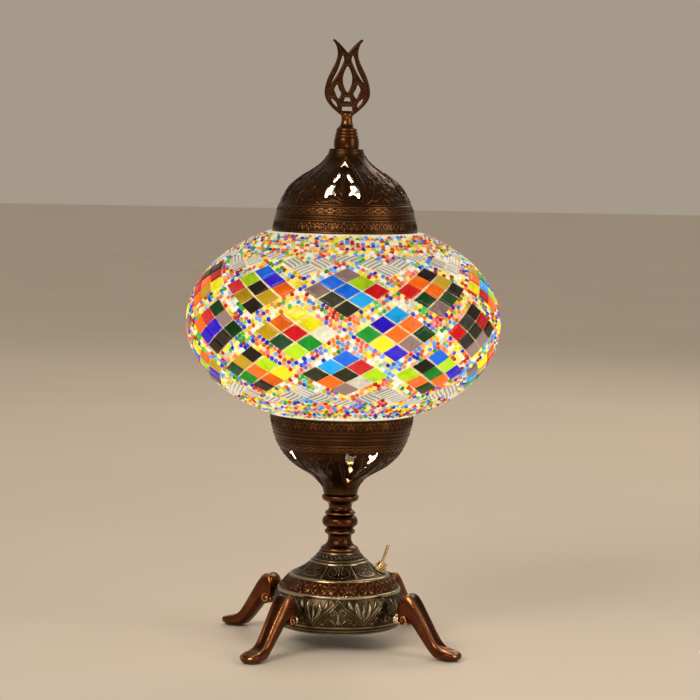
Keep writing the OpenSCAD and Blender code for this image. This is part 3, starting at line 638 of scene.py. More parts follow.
# CAD nodes that stay as they are, with their materials
CARRIED_OVER = [
    (steel, ["finial_stud", "finial_washer", "finial_nut", "cap_inner_ring", "cap_springs",
             "threaded_rod", "rod_washers", "cover_screws", "leg_screws", "bulb_screw_cap"]),
    (brass, ["rod_nuts", "holder_base", "holder_thread_shell", "holder_contact"]),
    (matt("felt", (0.03, 0.025, 0.02), (0.09, 0.075, 0.06), 0.95, 2600.0, 0.0004),
     ["cap_felt_ring", "globe_gasket", "foot_pads"]),
    (black_sheet, ["base_cover"]),
    (matt("porcelain", (0.74, 0.71, 0.64), (0.86, 0.83, 0.76), 0.25, 60.0, 0.00005),
     ["holder_insulator"]),
    (matt("black_phenolic", (0.01, 0.01, 0.011), (0.026, 0.025, 0.024), 0.34, 300.0, 0.00003),
     ["holder_sleeve", "bulb_tip"]),
    (matt("blue_phenolic", (0.008, 0.02, 0.09), (0.015, 0.035, 0.15), 0.36, 300.0, 0.00003),
     ["switch_body"]),
    (matt("white_nylon", (0.68, 0.67, 0.63), (0.8, 0.79, 0.75), 0.45, 300.0, 0.00003),
     ["terminal_block"]),
    (matt("wire_insulation", (0.35, 0.02, 0.015), (0.5, 0.035, 0.025), 0.42, 500.0, 0.00003),
     ["internal_wires"]),
    (matt("black_rubber", (0.01, 0.01, 0.01), (0.025, 0.025, 0.025), 0.7, 1500.0, 0.00006),
     ["cord_grommet"]),
    # Painted light: the frosted glass globe glows faintly, as if lit by the bulb inside it.
    (clouded("frosted_glass", 40.0, 3.0, {"Base Color": ((0.75, 0.73, 0.66), (0.86, 0.84, 0.78))},
             {"Roughness": 0.35, "Emission Color": (1.0, 0.93, 0.78, 1), "Emission Strength": 0.4},
             (900.0, 2.0, 0.00005)),
     ["glass_globe"]),
    (clouded("lit_bulb", 60.0, 2.0, {"Emission Color": ((1.0, 0.9, 0.7), (1.0, 0.95, 0.82))},
             {"Base Color": (0.9, 0.88, 0.82, 1), "Roughness": 0.3, "Emission Strength": 30.0}),
     ["bulb_glass"]),
]
for material, names in CARRIED_OVER:
    for name in names:
        mesh = nodes[name].data
        mesh.materials.clear()
        mesh.materials.append(material)

# ---- Cap and bowl ----

CAP_RIM_Z, CAP_TOP_Z = z_range("cap_dome")
BOWL_FOOT_Z, BOWL_RIM_Z = z_range("lower_bowl")
BOWL_FLOOR_Z = 101.0
SPUN_WALL = 1.6
STUD_BORE = 2.55
ROD_BORE = 5.05
SHELL_SEGMENTS = 576
SHELL_STEP = 0.52
CAP_MOTIF = math.radians(-3)
BOWL_MOTIF = math.radians(21)
CAP_TIP_Z = 308.6
BOWL_TIP_Z = 103.6
CAP_OUTLINE = [(46, CAP_RIM_Z), (44.9, 268.5), (43.5, 275), (41.1, 282), (36.9, 289.5),
               (33.8, 293.3), (29.1, 297.1), (23.6, 300.9), (17.7, 304.7), (13.6, 308.5),
               (11.6, 312), (10.5, CAP_TOP_Z)]
BOWL_OUTLINE = [(10.4, BOWL_FOOT_Z), (11.7, 100.3), (14.3, 104.2), (18.2, 108), (24.6, 111.9),
                (30.5, 115.7), (34.7, 119.6), (37.8, 123.5), (41.9, 131.2), (44.3, 138.8),
                (45.6, BOWL_RIM_Z)]
CHEVRON = [(0, 0), (1.8, 2.6), (3.3, 4.6), (2, 4.2), (0, 2.8), (-2, 4.2), (-3.3, 4.6), (-1.8, 2.6)]
UPPER_LOBE = [(2.1, 7.6), (3.6, 7.9), (4.4, 9.8), (6.2, 11.6), (6.6, 13.4), (5, 13.6), (3.9, 12.2),
              (2.4, 10.6)]
LOWER_CLAW = [(4.2, 15.2), (7.2, 14.6), (10, 17.2), (11.2, 20.4), (11, 23), (9.9, 23.2),
              (8.6, 21.4), (6.4, 20.8), (4.6, 22), (4, 20.6), (5.6, 18.6), (4.8, 16.8)]


def motif_cuts(first, tip_z, up):
    """The four pierced motifs of a shell: up is 1 where they point upwards, -1 where downwards."""
    cuts = []
    for k in range(4):
        azimuth = first + k * TAU / 4
        for shape, sides in ((CHEVRON, (1,)), (UPPER_LOBE, (1, -1)), (LOWER_CLAW, (1, -1))):
            for side in sides:
                cuts.append((azimuth, np.array([(side * x, tip_z - up * d) for x, d in shape])))
    return cuts


# Relief round a motif, right-hand half: distance across, and distance below the motif's tip
ARCH = [
    stroke([(0, -2.6), (2.3, 0.4), (5.2, 4.2), (9.2, 9.2), (12.9, 14.6), (15.2, 20.2), (15.8, 24.2),
            (14.6, 26.6)], 0.42),
    stroke([(0, -1.2), (1.7, 1.1), (4.4, 4.9), (6.9, 8.6), (9, 12), (11.6, 15.8), (13.2, 19.4),
            (13.4, 23), (12.2, 25.2), (9.4, 25.4), (6.2, 24), (3.2, 24.6), (0, 26.4)], 0.36),
    stroke([(0, 8.2), (0, 12), (0, 17), (0, 22)], 0.25, 0.3, 1.35),
    stroke([(0.4, 20.6), (2, 18.6), (3, 16)], 0.5, 0.25),
    stroke([(0.4, 24.2), (2.2, 22.8), (3, 21.4)], 0.4, 0.2),
]
ARABESQUE = [
    stroke([(15.9, 26.2), (18.6, 24), (20.2, 20.6), (19.6, 17.4), (17.4, 16.2), (16, 17.8),
            (16.8, 19.8), (18.2, 19.4)], 0.6, 0.28),
    stroke([(18.8, 24.4), (22.2, 24.6), (24.4, 22.6), (24.2, 20), (22.2, 19.4), (21.4, 21),
            (22.4, 22.2)], 0.5, 0.25),
    stroke([(19.9, 18), (20.6, 14.6), (19.2, 11.8), (16.4, 11), (14.4, 12.2), (15.4, 13.8),
            (17, 13.2)], 0.5, 0.24),
    stroke([(16.6, 11), (14.6, 8.6), (11.8, 7.4), (10, 8)], 0.45, 0.2),
    stroke([(20.2, 15), (22.4, 16), (23.6, 15)], 0.4, 0.2),
]
# Relief along the line midway between two motifs: distance from it, and distance below their tips
PALMETTE = [
    stroke([(0, 27), (0, 20), (0, 12), (0, 5)], 0.5, 0.25),
    stroke([(0, 25.4), (2.2, 23.6), (4, 24.2), (4.6, 25.8)], 0.5, 0.2, 0.7),
    stroke([(0, 21.4), (2, 18.6), (4, 18.8), (4.8, 20.6)], 0.45, 0.2, 0.7),
    stroke([(0, 17), (1.8, 14.4), (3.5, 14.4), (4.2, 16)], 0.4, 0.2, 0.62),
    stroke([(0, 13), (1.5, 10.6), (2.8, 10.8)], 0.35, 0.18, 0.5),
    stroke([(0, 8.6), (0, 4.4)], 1.05, 0.3),
    stroke([(0, 1.6), (0, -2.6)], 0.7, 0.3),
]
SCROLL_HALF = 5.9
SCROLL_MID = 2.75
SCROLL = [
    stroke(spiral(2.7, SCROLL_MID, 2.2, 0.35, math.radians(-60), 1.45), 0.48, 0.26),
    stroke([(3.8, 0.9), (4.9, 1.5), (5.9, 2.9)], 0.45, 0.3),
    stroke([(SCROLL_HALF, 2.2), (SCROLL_HALF, 4.6)], 0.3, 0.75),
    stroke([(0, 0.7), (0, 2.1)], 0.6, 0.25),
    stroke([(0.2, 4.9), (1.1, 4.3)], 0.55, 0.2),
    stroke([(4.3, 3.9), (5, 4.8)], 0.5, 0.2),
]
ARABESQUE_DEPTH = 0.42
BAND_DEPTH = 0.4
# Width of the rounded edge of a stroke, on large, small and tiny ornament
LARGE_EDGE, SMALL_EDGE, TINY_EDGE = 0.3, 0.28, 0.26
PALMETTE_CLEAR = 3.6
SCROLLS = 24
CROSSINGS = 44
BRAID_RADIUS = 43.0
STRAND_HALF = 0.46
EYE_R = 0.5


def arabesque(azimuth, radius, drop, first):
    """Arches round the four motifs, with scrolls and palmettes between them."""
    offset = folded(azimuth, 4, first)
    across = radius * offset
    midway = radius * (TAU / 8 - offset)
    up = np.maximum(raised(across, drop, ARCH, LARGE_EDGE),
                    raised(midway, drop, PALMETTE, LARGE_EDGE))
    scrolls = raised(across, drop, ARABESQUE, LARGE_EDGE) * eased(midway - PALMETTE_CLEAR)
    return np.maximum(up, scrolls)


def scroll_band(azimuth, height, low, high):
    """Running scrolls between two heights."""
    across = folded(azimuth, SCROLLS) * SCROLL_HALF / (TAU / SCROLLS / 2)
    up = (height - low) / (high - low) * 2 * SCROLL_MID
    return raised(across, up, SCROLL, SMALL_EDGE) * between(height, low - 0.2, high + 0.2)


def braid(azimuth, height, low, high):
    """Two strands that cross over one another, with a bead in each eye."""
    middle, half = (low + high) / 2, (high - low) / 2 - EYE_R
    phase = azimuth * CROSSINGS / 2
    up = np.zeros(azimuth.shape)
    for sign in (1, -1):
        strand = middle + sign * half * np.sin(phase)
        slope = half * np.cos(phase) * CROSSINGS / 2 / BRAID_RADIUS
        away = np.abs(height - strand) / np.sqrt(1 + slope * slope)
        up = np.maximum(up, eased((STRAND_HALF - away) / LARGE_EDGE))
    across = folded(azimuth, CROSSINGS, TAU / CROSSINGS / 2) * BRAID_RADIUS
    eye = eased((EYE_R - np.hypot(across, height - middle)) / LARGE_EDGE)
    return np.maximum(up, eye) * between(height, low - 0.1, high + 0.1)


def ribs(height, rings):
    """Half-round ribs round a turned piece, from each one's height and half width."""
    total = np.zeros(height.shape)
    for centre, half in rings:
        total = np.maximum(total, np.sqrt(np.clip(half * half - (height - centre) ** 2, 0, None)))
    return total


def spun_relief(motif, tip_z, up, field_zone, scroll_zone, braid_zone, rings):
    """Relief of the cap or bowl: up is 1 where the motifs point upwards, -1 where downwards."""
    def relief(azimuth, height, radius):
        field = arabesque(azimuth, radius, up * (tip_z - height), motif)
        field = field * between(height, *field_zone)
        bands = np.maximum(scroll_band(azimuth, height, *scroll_zone),
                           braid(azimuth, height, *braid_zone))
        rib = ribs(height, rings)
        lift = ARABESQUE_DEPTH * field + BAND_DEPTH * bands + rib
        tone = 0.3 + 0.2 * field + 0.34 * bands + 0.24 * eased(rib / 0.35)
        return lift, np.clip(tone, 0, 1)

    return relief


cap_relief = spun_relief(
    CAP_MOTIF, CAP_TIP_Z, 1, field_zone=(280.8, 312), scroll_zone=(265, 270.4),
    braid_zone=(275.9, 279.1),
    rings=[(279.8, 0.6), (275.3, 0.5), (273.4, 0.35), (271.2, 0.5), (264.2, 0.45), (281.2, 0.3),
           (313.4, 0.2), (315, 0.2)])
shell_parts(smooth(CAP_OUTLINE, 8), SPUN_WALL, SHELL_SEGMENTS, SHELL_STEP, cap_relief,
            top=[(STUD_BORE, CAP_TOP_Z), (STUD_BORE, CAP_TOP_Z - 2), (8.6, CAP_TOP_Z - 2)],
            cuts=motif_cuts(CAP_MOTIF, CAP_TIP_Z, 1)).build(
    "dome", "cap", "antiqued_bronze", [bronze, lit_inside], "cap_dome")

bowl_relief = spun_relief(
    BOWL_MOTIF, BOWL_TIP_Z, -1, field_zone=(98, 126.2), scroll_zone=(140.7, 146.5),
    braid_zone=(127.9, 130.5),
    rings=[(127.4, 0.5), (131, 0.5), (133.2, 0.3), (135.2, 0.5), (137.6, 0.35), (139.8, 0.4),
           (147.4, 0.3), (97.4, 0.4), (99, 0.35)])
shell_parts(smooth(BOWL_OUTLINE, 8), SPUN_WALL, SHELL_SEGMENTS, SHELL_STEP, bowl_relief,
            bottom=[(ROD_BORE, BOWL_FOOT_Z), (ROD_BORE, BOWL_FLOOR_Z), (10.0, BOWL_FLOOR_Z)],
            cuts=motif_cuts(BOWL_MOTIF, BOWL_TIP_Z, -1)).build(
    "bowl", "stand", "antiqued_bronze", [bronze, lit_inside], "lower_bowl")

# ---- Finial ----

TULIP_BOTTOM_Z, TULIP_TOP_Z = z_range("finial_tulip")
TULIP_TIP_Z = TULIP_TOP_Z - 1.0
TULIP_EDGE = 1.1
TULIP_GROWTH = 0.15
TULIP_HALF = [(3.4, 336.4), (6.3, 338.6), (10.6, 342.6), (13.5, 347), (14.2, 351.6), (13.2, 357),
              (11.6, 361.4), (9.6, 365.4), (7.6, 369.6), (6.5, 373.4), (6.5, 377), (7.6, 380.8),
              (9.3, TULIP_TIP_Z - 0.9)]
TULIP_NOTCH = [(9.3, TULIP_TIP_Z - 0.9), (9.3, TULIP_TIP_Z - 0.2), (8.6, TULIP_TIP_Z),
               (7.8, TULIP_TIP_Z - 0.5), (4.7, 380.8), (1.1, 376.8), (0, 375.4)]
TULIP_SLIT = [(3.2, 374.3), (4.3, 371.6), (5.1, 368.8), (6.5, 364.7), (8.5, 360.7), (10.5, 356.6),
              (9.8, 357), (7.1, 360.7), (4.9, 364.7), (3, 368.8), (2.2, 371.6)]
TULIP_DIAMOND = [(6.4, 355.9), (8.3, 353), (7.5, 350.2), (5.7, 346.9), (3.8, 350), (5.2, 352.8)]
TULIP_CRESCENT = [(10.1, 347.2), (9.3, 344.5), (6.8, 341.7), (6.1, 342.5), (7.3, 345)]
TULIP_ALMOND = [(0, 367.4), (2.4, 363), (3, 359), (2.3, 354.8), (0, 350.8), (-2.3, 354.8),
                (-3, 359), (-2.4, 363)]
TULIP_WINDOWS = [[(-2.4, 345.2), (2.4, 345.2), (1.5, 347.8), (-1.5, 347.8)],
                 [(-3.3, 339.2), (3.3, 339.2), (3.3, 342), (-3.3, 342)]]
TULIP_T = 4.0


def mirrored(points):
    return [(-x, z) for x, z in points]


def tulip_mesh():
    """The openwork plate with well rounded edges, from a filled 2-D curve."""
    half = [tuple(q) for q in smooth(TULIP_HALF, 5)]
    notch = [tuple(q) for q in smooth(TULIP_NOTCH, 5)][1:]
    outline = half + notch + mirrored(notch[:-1])[::-1] + mirrored(half)[::-1]
    loops = [outline, smooth(TULIP_ALMOND, 5, closed=True)] + TULIP_WINDOWS
    for shape in (TULIP_SLIT, TULIP_DIAMOND, TULIP_CRESCENT):
        hole = smooth(shape, 5, closed=True)
        loops += [hole, mirrored(hole)]
    curve = bpy.data.curves.new("tulip_outline", "CURVE")
    curve.dimensions = "2D"
    curve.fill_mode = "BOTH"
    curve.extrude = TULIP_T / 2 - TULIP_EDGE
    curve.bevel_depth = TULIP_EDGE
    curve.bevel_resolution = 4
    curve.offset = TULIP_GROWTH - TULIP_EDGE
    for points in loops:
        spline = curve.splines.new("POLY")
        spline.points.add(len(points) - 1)
        for point, (x, z) in zip(spline.points, points):
            point.co = (x, z, 0, 1)
        spline.use_cyclic_u = True
    holder = bpy.data.objects.new("tulip_curve", curve)
    bpy.context.collection.objects.link(holder)
    depsgraph = bpy.context.evaluated_depsgraph_get()
    mesh = bpy.data.meshes.new_from_object(holder.evaluated_get(depsgraph))
    bpy.data.objects.remove(holder)
    return mesh


KNOB = [(STUD_BORE, TULIP_BOTTOM_Z), (3.9, TULIP_BOTTOM_Z), (3.55, 332.4), (3.4, 334), (3.5, 335.6),
        (3.8, 336.8), (3.4, 337.9), (1.8, 338.5), (0, 338.6)]
KNOB_SEGMENTS = 48
tulip = Parts()
plate = tulip_mesh()
tulip.add(placed([v.co[:] for v in plate.vertices], Matrix.Rotation(math.pi / 2, 4, "X")),
          [list(p.vertices) for p in plate.polygons], relief=0.36)
knob = smooth(KNOB, 4)
tulip.add(turned_grid(knob, KNOB_SEGMENTS), grid_faces(len(knob), KNOB_SEGMENTS), relief=0.55)
tulip.build("tulip", "cap", "antiqued_copper", stem_bronze, "finial_tulip", sharp=50)


def turned_piece(name, body, slot, material, node, section, segments, step=0.3, tone=0.45,
                 swell=None, matrix=Matrix(), sharp=60):
    """A turned piece in place of a CAD node.

    With a step the section is closed and its points are a step apart; without one it runs from axis
    to axis as it is. tone is a number or a function of the section.
    """
    if step:
        section = resampled(np.vstack([section, section[:1]]), step)[:-1]
    relief = np.repeat(tone(section)[:, None], segments, axis=1) if callable(tone) else tone
    parts = Parts()
    parts.add(placed(turned_grid(section, segments, swell), matrix),
              grid_faces(len(section), segments, closed_rows=bool(step)), relief=relief)
    parts.build(name, body, slot, material, node, sharp)


def rubbed(section):
    """Tone that follows how far a turned surface stands out from its neighbours."""
    radius = section[:, 0]
    width = 5
    kernel = np.ones(2 * width + 1) / (2 * width + 1)
    mean = np.convolve(np.pad(radius, width, mode="edge"), kernel, mode="valid")
    return np.clip(0.42 + 0.55 * (radius - mean), 0.1, 0.95)


def bored(bore, line):
    """A turned line with the walls of its bore at both ends."""
    return np.vstack([[(bore, line[0][1])], line, [(bore, line[-1][1])]])


neck = smooth([(7.7, CAP_TOP_Z), (7.95, 317.5), (7.9, 320), (7.6, 322), (7.2, 322.6), (7.5, 323.4),
               (7.2, 324.1), (6.8, 324.7), (7.05, 325.4), (6.7, 326.1), (6.35, 326.7), (6.5, 327.4),
               (6.1, 328.3), (5, 329.3), (4.3, 330.2), (3.95, TULIP_BOTTOM_Z)], 4)
turned_piece("finial_neck", "cap", "antiqued_bronze", stem_bronze, "finial_collar",
             bored(STUD_BORE, neck), 96, tone=rubbed)

# ---- Stem ----

BASE_TOP_Z, STEM_JOINT_Z = z_range("stem_baluster")[0], z_range("stem_collar")[0]
baluster = smooth([(11.9, BASE_TOP_Z), (12.1, 60.8), (11.4, 62), (9.3, 63.3), (7.8, 65.6),
                   (7.4, 68), (7.9, 70), (9.5, 71), (9.7, 72.4), (8.6, 73.6), (9, 74.6), (11, 76.4),
                   (11.4, 78.4), (10.9, 80.4), (9.4, 81.9), (8.6, 82.6), (9.7, 83.4), (9.3, 84.6),
                   (7.6, 86), (7.3, STEM_JOINT_Z)], 5)
turned_piece("baluster", "stand", "antiqued_bronze", stem_bronze, "stem_baluster",
             bored(ROD_BORE, baluster), 120, tone=rubbed)
collar = smooth([(7.3, STEM_JOINT_Z), (7.9, 90), (9.6, 91.4), (11.2, 92.3), (11.8, 93.8),
                 (11.7, 95), (10.9, BOWL_FOOT_Z)], 5)
turned_piece("bowl_collar", "stand", "antiqued_bronze", stem_bronze, "stem_collar",
             bored(ROD_BORE, collar), 120, tone=rubbed)

# ---- Base ----

BASE_LIP_Z = z_range("base_bell")[0]
CAST_WALL = 2.0
BELL_SEGMENTS = 600
BELL_STEP = 0.5
BASE_OUTLINE = [(38, BASE_LIP_Z), (40.3, 14.5), (41.7, 19.5), (41.8, 25), (41, 30), (38.9, 34.9),
                (37.2, 38), (33, 42.8), (29.6, 45.2), (25.6, 47.3), (21.3, 50), (18.2, 53),
                (15.3, 56), (13.1, 58.6), (12.6, BASE_TOP_Z)]
LATTICE_HALF = 16.3
LATTICE = [
    stroke([(0, 34.6), (1.4, 32.6), (4.6, 29.6), (8.6, 26.2), (12.4, 22.6), (15, 19.8),
            (LATTICE_HALF, 18.2)], 0.42),
    stroke([(0, 32.4), (1.6, 30.6), (4.6, 27.6), (8, 24.6), (11.2, 21.4), (13.4, 18.8)], 0.34),
    stroke(spiral(3.2, 26.2, 2.3, 0.5, math.radians(150), -1.3), 0.5, 0.26),
    stroke([(1.2, 27.4), (0.5, 25.2), (0, 22.6)], 0.34, 0.5),
    stroke([(0, 20.4), (0, 23.2)], 1.5, 0.6),
    stroke([(1.8, 19.2), (4.4, 21.6), (7, 22.4), (8.6, 21), (7.6, 19.6), (6.2, 20.2)], 0.5, 0.26),
    stroke([(9.6, 19), (11.4, 19)], 0.6, 0.5),
    stroke([(LATTICE_HALF, 20.4), (LATTICE_HALF, 26), (LATTICE_HALF, 32)], 0.5, 0.3, 1.1),
    stroke([(15.4, 21.6), (13, 25), (11.8, 29), (12.2, 33)], 0.4, 0.3, 1.5),
    stroke([(9.4, 28), (7.6, 30.6), (6.8, 33.8)], 0.3, 0.3, 1.0),
    stroke(spiral(4.3, 32.6, 1.3, 0.3, math.radians(-120), -1.1), 0.36, 0.24),
]
MEDALLION_HALF = 9.4
MEDALLION = [
    stroke([(7.3 * math.sin(t), 49.0 + 2.9 * math.cos(t)) for t in np.linspace(0, math.pi, 16)],
           0.34),
    stroke(spiral(3.1, 49.0, 1.9, 0.4, math.radians(90), 1.25), 0.42, 0.24),
    stroke([(0, 50.9), (0, 47.2)], 0.75, 0.3),
    stroke([(5.4, 50), (6.2, 48.8), (5.4, 47.8)], 0.4, 0.2),
    stroke([(MEDALLION_HALF, 46), (MEDALLION_HALF, 52.4)], 0.9, 0.7),
]
VINE_HALF = 6.2
VINE = [
    stroke(spiral(2.9, 40.2, 2.4, 0.4, math.radians(-80), 1.4), 0.5, 0.25),
    stroke([(3.6, 37.9), (5, 38.4), (VINE_HALF, 40.2)], 0.5, 0.3),
    stroke([(VINE_HALF, 40.8), (VINE_HALF, 43)], 0.3, 0.75),
    stroke([(0, 37), (0, 38.4)], 0.7, 0.3),
    stroke([(0, 43), (0.9, 42)], 0.5, 0.25),
]


def repeated(azimuth, height, count, half, strokes, edge):
    """Strokes that are repeated round the bell, mirrored about each middle."""
    return raised(folded(azimuth, count) * half / (TAU / count / 2), height, strokes, edge)


# Heights between which the bell's ornaments lie, and those of the copper-coloured zone
LATTICE_ZONE = (18, 34.8)
MEDALLION_ZONE = (45.3, 52.5)
VINE_ZONE = (36.5, 43.8)
SLANT_ZONE = (55.9, 58.2)
WORN_ZONE = (36.4, 43.9)
COPPER_ZONE = (36.4, 43.7)
PANELS, VINES, SLANTS = 8, 18, 30
SLANT_LEAN = 2.2
BASE_RINGS = [(44.4, 0.7), (35.6, 0.8), (53, 0.5), (16.8, 0.4), (54.6, 0.35), (58.9, 0.35),
              (14.6, 0.35), (12.9, 0.4)]


def base_relief(azimuth, height, radius):
    """A lattice below, a vine round the shoulder, medallions above and slanted cuts on top."""
    lattice = repeated(azimuth, height, PANELS, LATTICE_HALF, LATTICE, LARGE_EDGE)
    lattice = lattice * between(height, *LATTICE_ZONE)
    medallions = repeated(azimuth, height, PANELS, MEDALLION_HALF, MEDALLION, TINY_EDGE)
    medallions = medallions * between(height, *MEDALLION_ZONE)
    vine = repeated(azimuth, height, VINES, VINE_HALF, VINE, SMALL_EDGE)
    vine = vine * between(height, *VINE_ZONE)
    slant = np.sin(azimuth * SLANTS + height * SLANT_LEAN) * 0.5 + 0.5
    top_band = slant * between(height, *SLANT_ZONE)
    rib = ribs(height, BASE_RINGS)
    lift = 0.4 * lattice + 0.34 * medallions + 0.42 * vine + 0.22 * top_band + rib
    tone = (0.34 + 0.26 * lattice + 0.26 * medallions + 0.24 * top_band + 0.34 * eased(rib / 0.4)
            + between(height, *WORN_ZONE) * (0.08 + 0.26 * vine))
    return lift, np.clip(tone, 0, 1)


shell_parts(smooth(BASE_OUTLINE, 8), CAST_WALL, BELL_SEGMENTS, BELL_STEP, base_relief,
            top=[(ROD_BORE, BASE_TOP_Z), (ROD_BORE, BASE_TOP_Z - 2), (9.8, BASE_TOP_Z - 2)],
            zone=COPPER_ZONE).build(
    "bell", "stand", "antiqued_bronze", [olive_bronze, black_sheet, stem_bronze], "base_bell")

# ---- Legs ----

LEG_NAMES = ["leg_front_left", "leg_front_right", "leg_back_right", "leg_back_left"]
LEG_FIRST = math.radians(-37)
PAD_T = z_range("foot_pads")[1]
# Side of a leg: radius and height of its top line and of its underside, station by station
LEG_TOP = [(51, 31.6), (51.6, 35.4), (53.4, 38.4), (56.4, 39.4), (59.6, 38.2), (63, 34.4),
           (66.4, 29.6), (70.5, 23.6), (75, 16.8), (79.2, 11), (83.4, 7.6), (88, 6.4), (92, 5.5),
           (94.1, 4)]
LEG_UNDER = [(51, 26), (51.2, 22), (52.6, 19.4), (54.9, 18.5), (57.4, 18.7), (60.4, 18.8),
             (64, 14.7), (68.2, 9.8), (72.4, 5.2), (76, 2.2), (79.5, PAD_T), (85, PAD_T),
             (90, PAD_T), (93.4, PAD_T + 0.2)]
LEG_HALF = [(48, 6), (52, 6.7), (60, 6.3), (72, 5.4), (80, 5.8), (87, 6.9), (92, 5.6), (94.4, 2.2)]
SECTION_POINTS = 56
BALL_AT = (45.4, 21.0)
BALL_R = 3.0
NECK_R = 2.0
NECK_START = 41.4
VOLUTE_AT = (55, 22.4)
VOLUTE_R = 3.4
VOLUTE_HALF = 6.7


def add_limb(parts):
    """The leg itself: a channelled, boxy section that runs down to the flared toe."""
    top, under = smooth(LEG_TOP, 7), smooth(LEG_UNDER, 7)
    half_line = smooth(LEG_HALF, 6)
    rows = len(top)
    angle = np.arange(SECTION_POINTS) * TAU / SECTION_POINTS
    vertices, tones = [], []
    for j in range(rows):
        along = j / (rows - 1)
        # The section is nearly square at the toe, and rounder above it
        power = 2 / (2.7 + 2.3 * eased((along - 0.68) / 0.14))
        across = np.sign(np.cos(angle)) * np.abs(np.cos(angle)) ** power
        upward = np.sign(np.sin(angle)) * np.abs(np.sin(angle)) ** power
        face = np.clip(upward, 0, 1)
        middle, reach = (top[j] + under[j]) / 2, (top[j] - under[j]) / 2
        half = np.interp(middle[0], half_line[:, 0], half_line[:, 1])
        channel = (np.exp(-(across / 0.5) ** 4) * face * eased((along - 0.06) / 0.12)
                   * eased((0.8 - along) / 0.1))
        toes = 0.5 * (1 - np.cos(across * 3 * math.pi)) * face * eased((along - 0.82) / 0.08)
        sink = 1.6 * channel + 0.6 * toes
        lift = upward * (1 - sink / max(np.linalg.norm(reach), 1))
        vertices.append(np.stack([across * half, middle[0] + reach[0] * lift,
                                  middle[1] + reach[1] * lift], axis=-1))
        # Bright along the crests of the top face's flanges: rubbed metal, and also a painted
        # highlight along the top of the leg.
        rim = np.exp(-((np.abs(across) - 0.72) / 0.14) ** 2) * face
        # The underside is darkened by 0.2 as painted shade; the channel is darker with patina.
        tones.append(0.45 - 0.24 * channel + 0.42 * rim - 0.2 * (upward < -0.5))
    parts.add(np.stack(vertices), grid_faces(rows, SECTION_POINTS)[:, ::-1], relief=np.stack(tones))
    fan = [[k, (k + 1) % SECTION_POINTS, SECTION_POINTS] for k in range(SECTION_POINTS)]
    for ring, faces in ((vertices[0], fan), (vertices[-1], [f[::-1] for f in fan])):
        parts.add(np.vstack([ring, ring.mean(axis=0)]), faces, relief=0.4)


def add_volute(parts):
    """A drum across the leg with a spiral sunk into both of its ends."""
    rings, segments = 15, 64
    turn = np.arange(segments) * TAU / segments
    vertices, tones = [], []
    for side in (-1, 1):
        for k in range(rings)[::-side]:
            r = VOLUTE_R * math.sin(math.pi / 2 * k / (rings - 1))
            carved = r > 0.4
            groove = eased(0.5 + 0.9 * np.cos(side * turn - r * 2.4)) * carved
            dome = VOLUTE_HALF + 0.5 * (1 - (r / VOLUTE_R) ** 2) - (0.9 if k == rings - 1 else 0.0)
            depth = side * (dome - 0.4 * (1 - groove) * (carved and k < rings - 2))
            vertices.append(np.stack([depth, VOLUTE_AT[0] + r * np.cos(turn),
                                      VOLUTE_AT[1] + r * np.sin(turn)], axis=-1))
            tones.append(0.35 + 0.45 * groove)
    parts.add(np.stack(vertices), grid_faces(len(vertices), segments), relief=np.stack(tones))


def add_ball(parts):
    """The ball between the volute and the bell, on a short neck."""
    waist = math.asin(NECK_R / BALL_R)
    neck_end = VOLUTE_AT[0] - 2
    profile = [(0, NECK_START), (NECK_R, NECK_START)]
    profile += [(BALL_R * math.sin(t), BALL_AT[0] - BALL_R * math.cos(t))
                for t in np.linspace(waist, math.pi - waist, 20)]
    profile += [(NECK_R, neck_end), (0, neck_end)]
    ball = turned_grid(profile, 40)
    outwards = np.stack([ball[..., 0], ball[..., 2], ball[..., 1] + BALL_AT[1]], axis=-1)
    parts.add(outwards, grid_faces(len(profile), 40)[:, ::-1], relief=0.95, material=1)


# Each leg is made in its own frame, X across, Y outwards and Z up, and then turned into place
for k, name in enumerate(LEG_NAMES):
    leg = Parts()
    add_limb(leg)
    add_volute(leg)
    add_ball(leg)
    azimuth = LEG_FIRST + k * TAU / 4
    c, s = math.cos(azimuth), math.sin(azimuth)
    turn = Matrix(((c, s, 0, 0), (s, -c, 0, 0), (0, 0, 1, 0), (0, 0, 0, 1)))
    leg.vertices = [placed(v, turn) for v in leg.vertices]
    piece = leg.build(name.replace("leg_", "cabriole_"), "stand", "antiqued_copper",
                      [leg_copper, olive_bronze], name, sharp=55)
    piece.data.flip_normals()

# ---- Switch ----

SWITCH_AZ = math.radians(84)
SWITCH_R = 25.4
SHOULDER_Z = 47.5
SWITCH_LEAN = math.radians(30)
HALF_THROW = math.radians(11)
along_switch = (Matrix.Rotation(SWITCH_AZ, 4, "Z") @ Matrix.Translation((0, -SWITCH_R, SHOULDER_Z))
                @ Matrix.Rotation(SWITCH_LEAN, 4, "X"))
along_lever = along_switch @ Matrix.Translation((0, 0, 2)) @ Matrix.Rotation(-HALF_THROW, 4, "X")

THREAD_DEPTH = 0.07
THREAD_PITCH = 0.62
NUT_BORE_R = 3.05
NUT_CORNER_R = 4.5
NUT_LOW, NUT_HIGH = 0.85, 2.85
NUT_CHAMFER = 0.45


def thread(azimuth, height, radius):
    """Fine screw thread on the bushing's outside."""
    depth = THREAD_DEPTH * (0.5 + 0.5 * np.cos(TAU * height / THREAD_PITCH + azimuth))
    return -depth * (height > 0.2) * (height < 5.2)


def hexagon(azimuth, height, radius):
    """Turns the round nut into a chamfered hexagon."""
    offset = (azimuth + TAU / 12) % (TAU / 6) - TAU / 12
    flat = NUT_CORNER_R * math.cos(math.pi / 6) / np.cos(offset)
    edge = np.clip(np.minimum(height - NUT_LOW, NUT_HIGH - height), 0, NUT_CHAMFER)
    limit = np.minimum(flat, NUT_CORNER_R - NUT_CHAMFER + edge * 1.3)
    return (radius - NUT_BORE_R) / (NUT_CORNER_R - NUT_BORE_R) * (limit - NUT_CORNER_R)


